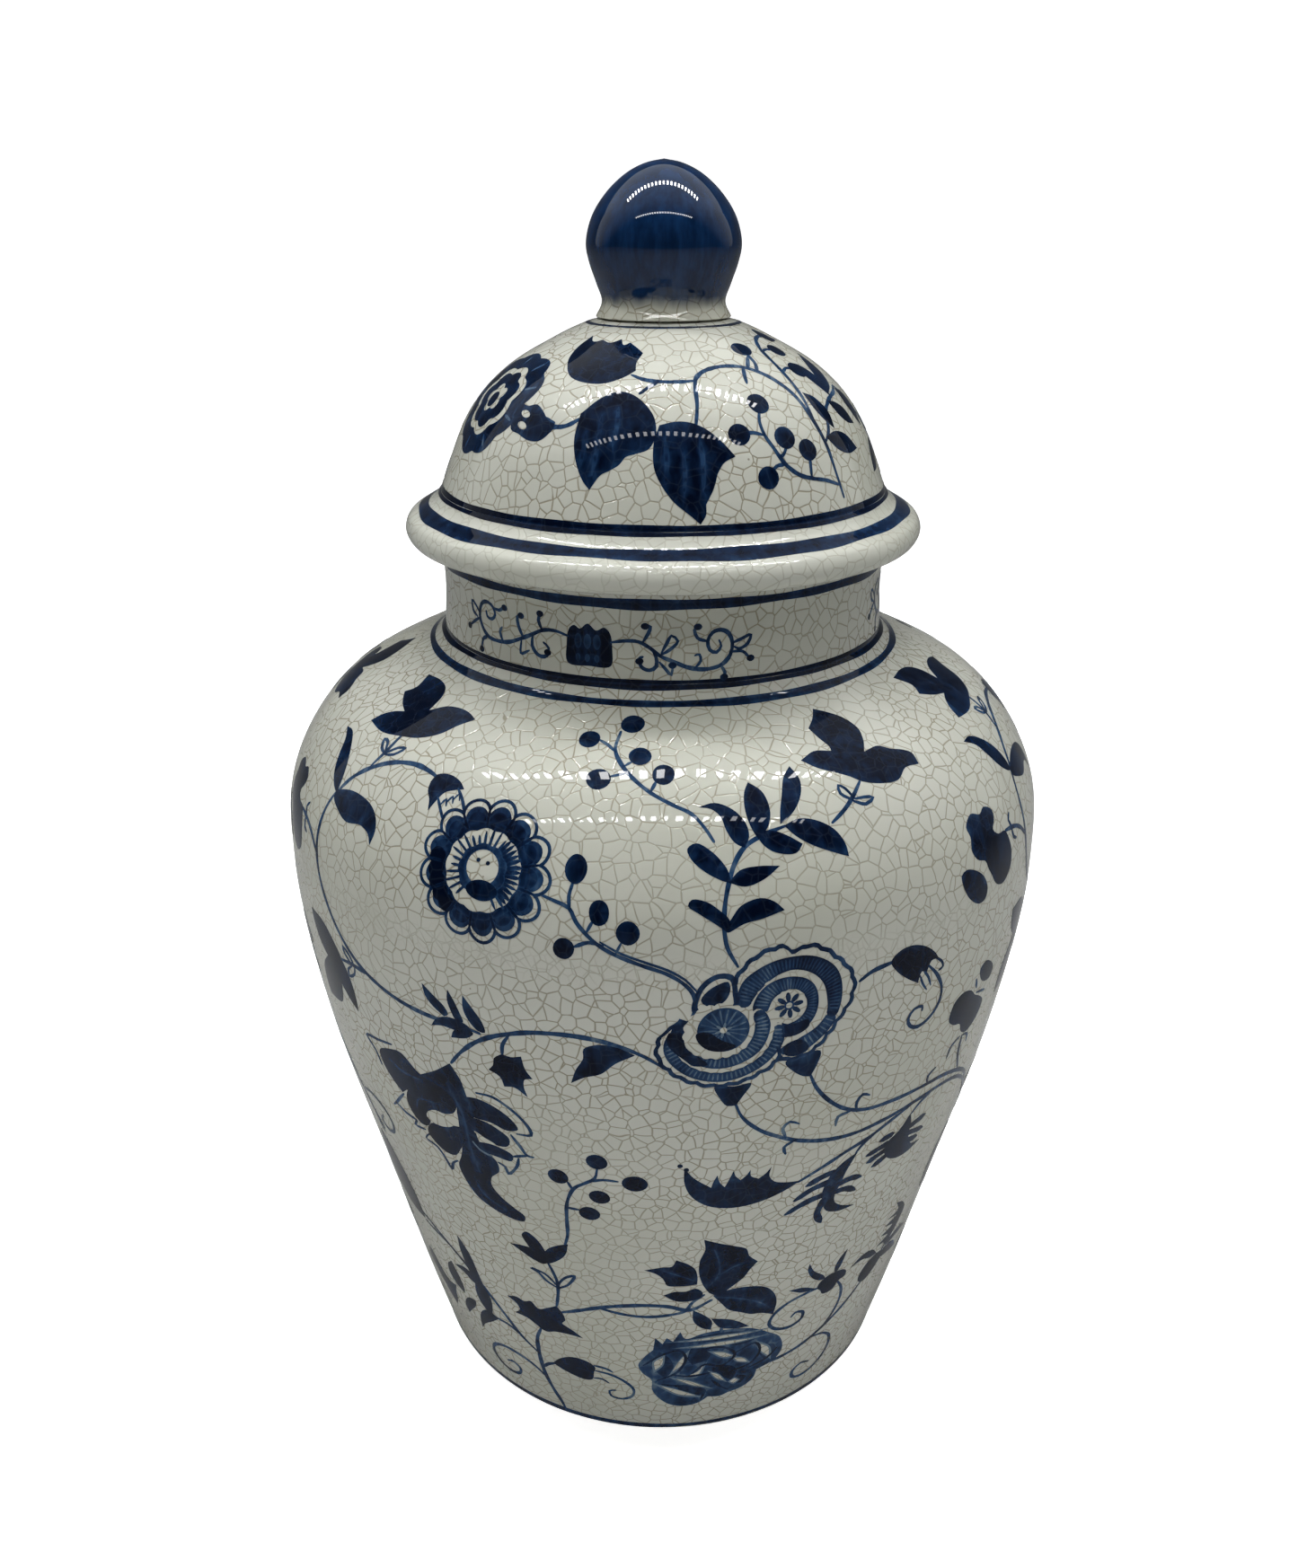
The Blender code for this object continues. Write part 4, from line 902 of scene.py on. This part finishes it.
def shell(name, wall, place, faces, ink, rim):
    """A closed skin of paint over faces of (turn, rise) places, sunk a little way into the glaze."""
    used, faces = np.unique(faces, return_inverse=True)
    faces = faces.reshape(-1, 3)
    turn, rise = place[used].T
    count = len(used)
    verts = np.vstack([wall.points(turn, rise), wall.points(turn, rise, -PAINT_DEPTH)])
    out = wall.normals(turn, rise)
    ways = np.vstack([faces[:, [0, 1]], faces[:, [1, 2]], faces[:, [2, 0]]])
    owner = np.tile(ink, 3)
    known = {tuple(way) for way in ways.tolist()}
    open_ways = np.array([(b, a) not in known for a, b in ways.tolist()])
    a, b = ways[open_ways].T
    sides = np.stack([b, a, a + count, b + count], 1)
    under = faces[:, ::-1] + count
    loops = np.vstack([out[faces].reshape(-1, 3), -out[under - count].reshape(-1, 3),
                       out[sides % count].reshape(-1, 3)])
    return make_mesh(name, verts, faces.tolist() + under.tolist() + sides.tolist(), loops,
                     {"rim": np.tile(rim[used], 2)}, np.concatenate([ink, ink, owner[open_ways]]))


def paint(painting):
    """The painted pieces of a wall: its marks cut into triangles, repeated round the axis."""
    span = 360.0 / painting.repeats
    half = 0.5 * span * PLANE_SCALE
    marks = []
    for outline, ink, piece in painting.marks:
        for shift in (-span, 0.0, span):
            line = (outline + [shift, 0.0]) * [PLANE_SCALE, 1.0]
            if line[:, 0].max() > -half and line[:, 0].min() < half:
                marks.append((line, ink, piece))
    top = max(line[:, 1].max() for line, _, _ in marks) + 1
    columns, rows = np.meshgrid(np.arange(-half, half, FILL_STEP), np.arange(0.0, top, FILL_ROW))
    columns = columns + 0.5 * FILL_STEP * (np.arange(len(rows)) % 2)[:, None]
    grid = np.stack([columns.ravel(), rows.ravel()], 1)
    wanted = np.zeros(len(grid), bool)
    corners, edges = [], []
    for line, ink, _ in marks:
        near = in_box(grid, line)
        wanted[near] |= circled(grid[near], line)
        first, count = len(corners), len(line)
        corners += line.tolist()
        edges += [(first + i, first + (i + 1) % count) for i in range(count)]
    for side in (-half, half):
        edges.append((len(corners), len(corners) + 1))
        corners += [[side, -1.0], [side, top]]
    corners += grid[wanted].tolist()
    verts, _, faces, *_ = geometry.delaunay_2d_cdt([Vector(c) for c in corners], edges, [], 0, 1e-4)
    plane = np.array([tuple(v) for v in verts])
    faces = np.array([f for f in faces if len(f) == 3])
    a, b, c = (plane[faces[:, i]] for i in range(3))
    turned_over = (b[:, 0] - a[:, 0]) * (c[:, 1] - a[:, 1]) < (c[:, 0] - a[:, 0]) * (b[:, 1] - a[:, 1])
    faces[turned_over] = faces[turned_over][:, ::-1]
    middle = (a + b + c) / 3
    inks = np.zeros(len(faces))
    pieces = np.full(len(faces), "", object)
    for line, ink, piece in marks:
        near = in_box(middle, line)
        inside = near[circled(middle[near], line)]
        inks[inside], pieces[inside] = ink, piece
    inks[np.abs(middle[:, 0]) > half] = 0.0
    low = np.full(len(plane), 9.0)
    high = np.zeros(len(plane))
    for i in range(3):
        np.minimum.at(low, faces[:, i], inks)
        np.maximum.at(high, faces[:, i], inks)
    rim = ((high - low) > 0.02).astype(float)
    made = []
    place = plane / [PLANE_SCALE, 1.0]
    for name in dict.fromkeys(piece for _, _, piece in marks):
        chosen = (pieces == name) & (inks > 0)
        turns = [place + [span * k, 0.0] for k in range(painting.repeats)]
        copies = [faces[chosen] + k * len(place) for k in range(painting.repeats)]
        made.append(shell(name, painting.wall, np.vstack(turns), np.vstack(copies),
                          np.tile(inks[chosen], painting.repeats), np.tile(rim, painting.repeats)))
    return made


def ring(name, wall, bands):
    """Painted lines right round a wall, each (low, high, ink) in millimetres of rise."""
    turns = np.arange(0.0, 360.0, 1.5)
    place, faces, ink, rim = [], [], [], []
    for low, high, strength in bands:
        sway = 0.10 * (high - low) * np.sin(np.radians(5 * turns + 40 * low))
        sway = sway + 0.05 * (high - low) * np.sin(np.radians(17 * turns))
        rows = [low + sway, 0.5 * (low + high) + 0 * turns, high - 0.6 * sway]
        first, count = sum(len(p) for p in place), len(turns)
        place += [np.stack([turns, row], 1) for row in rows]
        rim += [np.ones(count), np.zeros(count), np.ones(count)]
        i = np.arange(count)
        j = (i + 1) % count
        for k in (0, 1):
            a, b = first + k * count + i, first + k * count + j
            faces += [np.stack([a, b, b + count], 1), np.stack([a, b + count, a + count], 1)]
        ink.append(np.full(4 * count, strength))
    return shell(name, wall, np.vstack(place), np.vstack(faces), np.concatenate(ink),
                 np.concatenate(rim))


def turned(name, profile, bare=lambda radius, height: 0 * radius):
    """A profile turned round the axis. It goes down its outer side, and is closed at its ends."""
    profile = np.asarray(profile, float)
    angle = np.arange(TURN_STEPS) * math.tau / TURN_STEPS
    radius = profile[:, 0]
    verts, index = [], []
    for r, z in profile:
        index.append(np.full(TURN_STEPS, len(verts)) if r < 1e-6 else len(verts) + np.arange(TURN_STEPS))
        verts += [(0.0, 0.0, z)] if r < 1e-6 else [(r * math.sin(t), -r * math.cos(t), z) for t in angle]
    loop = list(zip(index, index[1:]))
    if radius[0] > 1e-6:
        loop.append((index[-1], index[0]))
    faces = []
    for one, two in loop:
        for i in range(TURN_STEPS):
            j = (i + 1) % TURN_STEPS
            faces.append(list(dict.fromkeys((int(one[i]), int(two[i]), int(two[j]), int(one[j])))))
    verts = np.array(verts)
    flat = np.hypot(verts[:, 0], verts[:, 1])
    return make_mesh(name, verts * MM, faces, points={"bare": bare(flat, verts[:, 2])})


def rounded(points, size):
    """The outline with each corner rounded off, from size millimetres before it or less."""
    points = np.asarray(points, float)
    out = [points[0]]
    for before, corner, after in zip(points, points[1:], points[2:]):
        back, on = before - corner, after - corner
        reach = min(size, 0.45 * np.hypot(*back), 0.45 * np.hypot(*on))
        start = corner + back * reach / np.hypot(*back)
        end = corner + on * reach / np.hypot(*on)
        for t in np.linspace(0.0, 1.0, CORNER_STEPS):
            out.append((1 - t) ** 2 * start + 2 * t * (1 - t) * corner + t ** 2 * end)
    return np.vstack([*out, points[-1]])


def skin(outline, lift=0.0):
    """An outline's curve, foot to top, lifted along its outer normals."""
    wall = Wall(outline)
    return wall.line[::2] + lift * wall.out[::2]


def body_profile():
    """Up the inside from its floor, over the lip and down the outside to the foot ring."""
    outside = skin(BODY_OUTLINE, -GLAZE_SINK)
    neck = skin(NECK_OUTLINE, -GLAZE_SINK)
    inside = skin(BODY_OUTLINE, -BODY_THICK)
    inside = inside[(inside[:, 1] > 16.0) & (inside[:, 1] < 194.0)]
    floor = rounded([(0.0, 9.5), (58.0, 9.5), inside[0]], 5.0)[:-1]
    throat = [inside[-1], (51.0, 199.0), (48.2, 204.5), (48.2, SEAT), (53.0, SEAT), neck[-1]]
    throat = rounded(throat, 1.6)[1:-1]
    foot = [outside[0], (62.8, 0.0), (57.3, 0.0), (55.3, 3.5), (51.3, 4.5), (0.0, 4.5)]
    foot = rounded(foot, 0.7)[1:]
    return np.vstack([floor, inside, throat, neck[::-1], outside[:-1][::-1], foot])


def dome_profile():
    """Down the dome and its flange, then up its inside."""
    outside = skin(DOME_OUTLINE, -GLAZE_SINK)
    bead = skin(FLANGE_OUTLINE, -GLAZE_SINK)
    inside = skin(DOME_OUTLINE, -LID_THICK)
    inside = inside[(inside[:, 1] > 238.0) & (inside[:, 0] > 8.0)]
    seat = SEAT + GAP
    under = rounded([bead[0], (54.2, seat), (42.6, seat), (43.6, 231.0), inside[0]], 0.8)[1:-1]
    return np.vstack([outside[1:][::-1], bead[::-1], under, inside, [(4.0, 270.8)]])


def collar_profile():
    """The lid's locating ring, with its top closed."""
    low = SEAT - RING_DROP
    outline = [(44.4, SEAT), (46.4, SEAT), (45.6, low), (42.4, low), (42.4, SEAT), (44.4, SEAT)]
    return rounded(outline, 0.9)[:-1]


def knob_profile():
    """Down the knob to the dome it stands on, then round its hollow."""
    outside = skin(KNOB_OUTLINE)
    crown = skin(DOME_OUTLINE, GAP)
    crown = crown[(crown[:, 0] < 14.9) & (crown[:, 0] > 4.5)]
    hollow = spline([(0.0, 302.4), (7.0, 299.6), (12.0, 293.0), (13.6, 287.6), (10.8, 281.0),
                     (4.0, 278.8)])
    foot = rounded([outside[1], (15.4, 273.4), crown[0]], 0.5)[1:-1]
    return np.vstack([outside[1:][::-1], foot, crown, hollow[::4][::-1]])


# --- Finishes --------------------------------------------------------------------------------

WIDE_CELL, CLOSE_CELL = 0.0033, 0.0030      # crackle cells, on the shoulder and lid and below them
CRACK_WIDTH = 0.00027
NET_CHANGE = (0.151, 0.164)                 # the heights where one net gives way to the other
FLANGE_MIDDLE = 0.2295                      # the crackle is fainter on the flange's bead
BLUE_START = (0.2752, 0.2788)               # the heights where the knob turns from cream to blue
GLAZE_ROUGH, CLAY_ROUGH = 0.015, 0.8
GLAZE_GLOSS, PAINT_GLOSS = 0.5, 0.13

CRACK = (0.2, 0.165, 0.1, 1)
GREY_GLAZE, WHITE_GLAZE = (0.470, 0.476, 0.411, 1), (0.535, 0.541, 0.486, 1)
CREAM_GLAZE = (0.51, 0.51, 0.43, 1)
IRON_SPECK = (0.12, 0.085, 0.05, 1)
DARK_CLAY, LIGHT_CLAY = (0.36, 0.27, 0.18, 1), (0.52, 0.42, 0.30, 1)
KNOB_DARK, KNOB_LIGHT = (0.001, 0.010, 0.038, 1), (0.005, 0.026, 0.085, 1)
# The paint's colour by how much of it there is, at the ends of the ramp and between them.
COBALT_ENDS = [(0.15, (0.12, 0.175, 0.235, 1)), (1.0, (0.001, 0.0033, 0.0125, 1))]
COBALT_BETWEEN = [(0.42, (0.019, 0.051, 0.118, 1)), (0.72, (0.0042, 0.0148, 0.045, 1))]
COBALT_CRACK = (0.07, 0.09, 0.12, 1)

# A colour mix node's sockets, which share their names with its other kinds.
MIX_SHARE, MIX_ONE, MIX_TWO, MIX_RESULT = 0, 6, 7, 2


class Finish:
    """A material's node tree, with short ways to add and join nodes."""

    def __init__(self, name):
        self.material = bpy.data.materials.new(name)
        self.material.use_nodes = True
        self.tree = self.material.node_tree
        self.shader = self.tree.nodes["Principled BSDF"]
        where = self.add("ShaderNodeTexCoord")
        self.place = where.outputs["Object"]
        self.outward = where.outputs["Normal"]

    def add(self, kind, inputs=(), **settings):
        node = self.tree.nodes.new(kind)
        for key, value in settings.items():
            setattr(node, key, value)
        for key, value in dict(inputs).items():
            self.put(node.inputs[key], value)
        return node

    def put(self, socket, value):
        if isinstance(value, bpy.types.NodeSocket):
            self.tree.links.new(value, socket)
        else:
            socket.default_value = value

    def math(self, operation, *values, clamp=False):
        node = self.add("ShaderNodeMath", enumerate(values), operation=operation, use_clamp=clamp)
        return node.outputs[0]

    def vector(self, operation, *values):
        node = self.add("ShaderNodeVectorMath", enumerate(values), operation=operation)
        return node.outputs["Value" if operation == "DOT_PRODUCT" else "Vector"]

    def span(self, value, low, high, start=0.0, end=1.0, smooth=True):
        """value taken from low..high to start..end, held there outside."""
        kind = "SMOOTHSTEP" if smooth else "LINEAR"
        ranges = {"Value": value, "From Min": low, "From Max": high, "To Min": start, "To Max": end}
        return self.add("ShaderNodeMapRange", ranges, interpolation_type=kind).outputs["Result"]

    def mix(self, share, one, two):
        node = self.add("ShaderNodeMix", data_type="RGBA")
        self.put(node.inputs[MIX_SHARE], share)
        self.put(node.inputs[MIX_ONE], one)
        self.put(node.inputs[MIX_TWO], two)
        return node.outputs[MIX_RESULT]

    def noise(self, scale, detail=2.0, place=None, rough=0.5):
        inputs = {"Vector": place or self.place, "Scale": scale, "Detail": detail, "Roughness": rough}
        return self.add("ShaderNodeTexNoise", inputs).outputs["Fac"]

    def stretched(self, *scale):
        inputs = {"Vector": self.place, "Scale": scale}
        return self.add("ShaderNodeMapping", inputs).outputs["Vector"]

    def attribute(self, name):
        return self.add("ShaderNodeAttribute", attribute_name=name).outputs["Fac"]

    def height(self):
        return self.add("ShaderNodeSeparateXYZ", {"Vector": self.place}).outputs["Z"]

    def crackle(self, cell, width):
        """1 on the lines between cells of about this size in metres, falling to 0 beside them."""
        wander = self.add("ShaderNodeTexNoise", {"Vector": self.place, "Scale": 0.4 / cell, "Detail": 1.0})
        push = self.vector("SUBTRACT", wander.outputs["Color"], (0.5, 0.5, 0.5))
        push = self.vector("MULTIPLY", push, (0.6 * cell,) * 3)
        place = self.vector("ADD", self.place, push)
        inputs = {"Vector": place, "Scale": 1.0 / cell, "Randomness": 1.0}
        own, other = (self.add("ShaderNodeTexVoronoi", inputs, feature=kind).outputs["Position"]
                      for kind in ("F1", "F2"))
        across = self.vector("NORMALIZE", self.vector("SUBTRACT", other, own))
        middle = self.vector("MULTIPLY", self.vector("ADD", own, other), (0.5, 0.5, 0.5))
        depth = self.vector("DOT_PRODUCT", self.vector("SUBTRACT", middle, place), across)
        lean = self.vector("DOT_PRODUCT", across, self.outward)
        flat = self.math("SQRT", self.math("SUBTRACT", 1.0004, self.math("POWER", lean, 2.0)))
        return self.span(self.math("DIVIDE", depth, flat), 0.0, width, 1.0, 0.0)

    def ripples(self):
        """The slow unevenness of a thick glaze."""
        return self.noise(26.0, 2.0)

    def bump(self, height, distance):
        inputs = {"Height": height, "Distance": distance}
        self.put(self.shader.inputs["Normal"], self.add("ShaderNodeBump", inputs).outputs["Normal"])

    def glassy(self, color, roughness=GLAZE_ROUGH, gloss=GLAZE_GLOSS):
        self.put(self.shader.inputs["Base Color"], color)
        self.put(self.shader.inputs["Roughness"], roughness)
        self.shader.inputs["Specular IOR Level"].default_value = gloss


def net(finish):
    """The crackle's depth of colour: a wide net on the shoulder and lid, and a closer one below."""
    height = finish.height()
    high = finish.span(height, *NET_CHANGE)
    off_flange = finish.math("ABSOLUTE", finish.math("SUBTRACT", height, FLANGE_MIDDLE))
    off_flange = finish.span(off_flange, 0.0045, 0.0070, 0.45, 1.0)
    wide = finish.math("MULTIPLY", finish.crackle(WIDE_CELL, CRACK_WIDTH),
                       finish.math("MULTIPLY", high, off_flange))
    close = finish.math("MULTIPLY", finish.crackle(CLOSE_CELL, CRACK_WIDTH),
                        finish.span(high, 0.0, 1.0, 1.0, 0.0))
    return finish.math("MAXIMUM", wide, close)


def crackle_glaze():
    """Cloudy grey-white glaze with brown cracks and a few specks, and clay where it is bare."""
    finish = Finish("crackle_glaze")
    tone = finish.mix(finish.span(finish.noise(14.0, 3.0), 0.3, 0.7), GREY_GLAZE, WHITE_GLAZE)
    cracks = net(finish)
    strength = finish.math("MULTIPLY", cracks, finish.span(finish.noise(30.0, 2.0), 0.3, 0.7, 0.5, 0.85))
    color = finish.mix(strength, tone, CRACK)
    speck = finish.add("ShaderNodeTexVoronoi", {"Vector": finish.place, "Scale": 95.0}).outputs["Distance"]
    color = finish.mix(finish.span(speck, 0.018, 0.032, 0.6, 0.0), color, IRON_SPECK)
    bare = finish.attribute("bare")
    clay = finish.mix(finish.noise(420.0, 3.0), DARK_CLAY, LIGHT_CLAY)
    finish.glassy(finish.mix(bare, color, clay), finish.span(bare, 0.0, 1.0, GLAZE_ROUGH, CLAY_ROUGH))
    finish.bump(finish.math("ADD", finish.ripples(), finish.math("MULTIPLY", cracks, -0.06)), 0.0007)
    return finish.material


def cobalt_paint():
    """Blue that pools and streaks, and thins at the rim of a mark."""
    finish = Finish("cobalt_paint")
    ink, rim = finish.attribute("ink"), finish.attribute("rim")
    streaks = finish.noise(1.0, 3.0, finish.stretched(420.0, 420.0, 110.0))
    pools = finish.noise(75.0, 3.0)
    depth = finish.math("ADD", ink, finish.span(pools, 0.3, 0.7, -0.20, 0.10, smooth=False))
    depth = finish.math("ADD", depth, finish.span(streaks, 0.3, 0.7, -0.16, 0.12, smooth=False))
    depth = finish.math("SUBTRACT", depth, finish.math("MULTIPLY", rim, 0.2), clamp=True)
    ramp = finish.add("ShaderNodeValToRGB", {"Fac": depth})
    stops = ramp.color_ramp.elements
    for stop, (position, color) in zip(stops, COBALT_ENDS):
        stop.position, stop.color = position, color
    for position, color in COBALT_BETWEEN:
        stops.new(position).color = color
    cracks = finish.math("MULTIPLY", net(finish), 0.08)
    finish.glassy(finish.mix(cracks, ramp.outputs["Color"], COBALT_CRACK), gloss=PAINT_GLOSS)
    finish.bump(finish.ripples(), 0.0007)
    return finish.material


def knob_glaze():
    """Cobalt that thins in streaks to the crackled cream stem."""
    finish = Finish("knob_glaze")
    ragged = finish.noise(1.0, 3.0, finish.stretched(330.0, 330.0, 60.0))
    ragged = finish.span(ragged, 0.3, 0.7, -0.0005, 0.0005, smooth=False)
    level = finish.math("ADD", finish.height(), ragged)
    streaks = finish.noise(1.0, 4.0, finish.stretched(420.0, 420.0, 45.0), 0.6)
    blue = finish.mix(finish.span(streaks, 0.30, 0.72), KNOB_DARK, KNOB_LIGHT)
    cream = finish.mix(finish.math("MULTIPLY", net(finish), 0.7), CREAM_GLAZE, CRACK)
    finish.glassy(finish.mix(finish.span(level, *BLUE_START), cream, blue))
    finish.bump(finish.ripples(), 0.0006)
    return finish.material


def studio_white(name, glow, seen):
    """Matt white that gives off glow. With seen, the camera sees that much more of it, and
    reflections see it dim."""
    finish = Finish(name)
    finish.shader.inputs["Base Color"].default_value = (0.6, 0.6, 0.6, 1)
    finish.shader.inputs["Roughness"].default_value = 0.9
    finish.shader.inputs["Specular IOR Level"].default_value = 0.1
    finish.shader.inputs["Emission Color"].default_value = (1, 1, 1, 1)
    ray = finish.add("ShaderNodeLightPath")
    finish.put(finish.shader.inputs["Emission Strength"],
               finish.span(ray.outputs["Is Camera Ray"], 0.0, 1.0, glow, glow + seen, smooth=False))
    if seen:
        dim = finish.mix(ray.outputs["Is Glossy Ray"], (0.9, 0.9, 0.9, 1), (0.35, 0.35, 0.35, 1))
        finish.put(finish.shader.inputs["Base Color"], dim)
    return finish.material


# --- The jar and its lid ---------------------------------------------------------------------

def fit(piece, material, body, stands_for=None):
    """Gives a piece its material, the body it rides and any CAD solid it stands for."""
    piece.data.materials.append(material)
    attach(piece, body)
    if stands_for:
        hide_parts(stands_for)


GLAZE, PAINT, KNOB = crackle_glaze(), cobalt_paint(), knob_glaze()
fit(turned("glazed_body", body_profile(), lambda r, z: ((z < BARE_EDGE) & (r > 56.0)).astype(float)),
    GLAZE, "jar", "jar_body")
fit(turned("glazed_dome", dome_profile(), lambda r, z: ((z < SEAT + BARE_EDGE) & (r < 54.0)).astype(float)),
    GLAZE, "lid", "lid_dome")
fit(turned("locating_ring", collar_profile(), lambda r, z: (z < SEAT - RING_GLAZED).astype(float)),
    GLAZE, "lid", "lid_locating_ring")
fit(turned("glazed_knob", knob_profile()), KNOB, "lid", "lid_knob")

for painting, body in ((body_painting, "jar"), (neck_painting, "jar"), (dome_painting, "lid")):
    for piece in paint(painting):
        fit(piece, PAINT, body)

body_rings = [(0.3, 2.0, 0.8), (219.2, 221.1, 0.9), (223.5, 225.0, 1.1)]
neck_rings = [(0.0, 0.95, 1.1), (16.3, 18.4, 0.92)]
flange_rings = [(13.3, 16.7, 0.96), (19.6, 20.7, 1.1)]
dome_rings = [(-0.3, 1.3, 1.1), (52.6, 53.5, 0.9)]
fit(ring("painted_body_rings", BODY_WALL, body_rings), PAINT, "jar")
fit(ring("painted_neck_rings", NECK_WALL, neck_rings), PAINT, "jar")
fit(ring("painted_flange_rings", FLANGE_WALL, flange_rings), PAINT, "lid")
fit(ring("painted_dome_rings", DOME_WALL, dome_rings), PAINT, "lid")


# --- Studio ----------------------------------------------------------------------------------

def backdrop():
    """A pale floor that sweeps up behind the jar, in metres."""
    outline = [(-2.2, 0.0), (1.4, 0.0), (1.8, 0.05), (2.1, 0.2), (2.3, 0.5), (2.4, 2.6)]
    line = spline(outline, per_span=12)
    verts = np.array([(x, y, z) for x in (-4.0, 4.0) for y, z in line])
    count = len(line)
    faces = [(i, i + count, i + count + 1, i + 1) for i in range(count - 1)]
    floor = make_mesh("floor", verts, faces)
    floor.data.materials.append(studio_white("floor_paper", 0.0, 0.9))


def light_strip(name, y, z, half, low, high, pitch, power):
    """A row of small lit patches overhead, as a strip of lamps shows in the glaze."""
    verts, faces = [], []
    for x in np.arange(low, high, pitch):
        base = len(verts)
        near, far, end = y - half, y + half, x + 0.45 * pitch
        verts += [(x, near, z), (x, far, z), (end, far, z), (end, near, z)]
        faces.append((base, base + 1, base + 2, base + 3))
    strip = make_mesh(name, np.array(verts) * MM, faces)
    strip.data.materials.append(studio_white(name + "_glow", power, 0.0))


def soft_fill():
    """A broad soft light over the front of the shoulder, left out of reflections."""
    light = bpy.data.lights.new("soft_fill", "AREA")
    light.energy = 2.3
    light.size = 0.7
    lamp = bpy.data.objects.new("soft_fill", light)
    lamp.location = (0.0, -0.2, 0.95)
    lamp.rotation_euler = (0.15, 0.0, 0.0)
    lamp.visible_glossy = False
    bpy.context.scene.collection.objects.link(lamp)


def studio_world():
    """White above and behind, dim before the front of the jar, and white to look at everywhere."""
    world = bpy.data.worlds.new("studio")
    world.use_nodes = True
    tree = world.node_tree
    way = tree.nodes.new("ShaderNodeTexCoord")
    split = tree.nodes.new("ShaderNodeSeparateXYZ")
    level = tree.nodes.new("ShaderNodeMapRange")
    height = tree.nodes.new("ShaderNodeMath")
    height.operation = "MULTIPLY_ADD"
    height.inputs[1].default_value = 0.9
    tree.links.new(way.outputs["Generated"], split.inputs["Vector"])
    tree.links.new(split.outputs["Z"], height.inputs[0])
    tree.links.new(split.outputs["Y"], height.inputs[2])
    tree.links.new(height.outputs["Value"], level.inputs["Value"])
    for key, value in (("From Min", 0.05), ("From Max", 0.9), ("To Min", 0.03), ("To Max", 0.82)):
        level.inputs[key].default_value = value
    ray = tree.nodes.new("ShaderNodeLightPath")
    seen = tree.nodes.new("ShaderNodeMath")
    seen.operation = "MAXIMUM"
    tree.links.new(level.outputs["Result"], seen.inputs[0])
    tree.links.new(ray.outputs["Is Camera Ray"], seen.inputs[1])
    tree.links.new(seen.outputs["Value"], tree.nodes["Background"].inputs["Strength"])
    tree.nodes["Background"].inputs["Color"].default_value = (0.97, 1.0, 0.98, 1)
    bpy.context.scene.world = world


backdrop()
light_strip("back_strip", y=60, z=1000, half=36, low=-560, high=540, pitch=50, power=48.0)
light_strip("front_strip", y=-500, z=1000, half=26, low=-640, high=620, pitch=50, power=25.0)
soft_fill()
studio_world()
scene = bpy.context.scene
scene.view_settings.view_transform = "Standard"

CAMERA_PLACE = (-0.0033, -0.328, 0.2987)
CAMERA_DOWN = 0.406       # radians below level
lens = bpy.data.cameras.new("camera")
lens.lens = 31.47
lens.sensor_width = 36.0
lens.clip_start = 0.01
camera = bpy.data.objects.new("camera", lens)
camera.location = CAMERA_PLACE
camera.rotation_euler = (math.pi / 2 - CAMERA_DOWN, 0.0, 0.0)
scene.collection.objects.link(camera)
scene.camera = camera
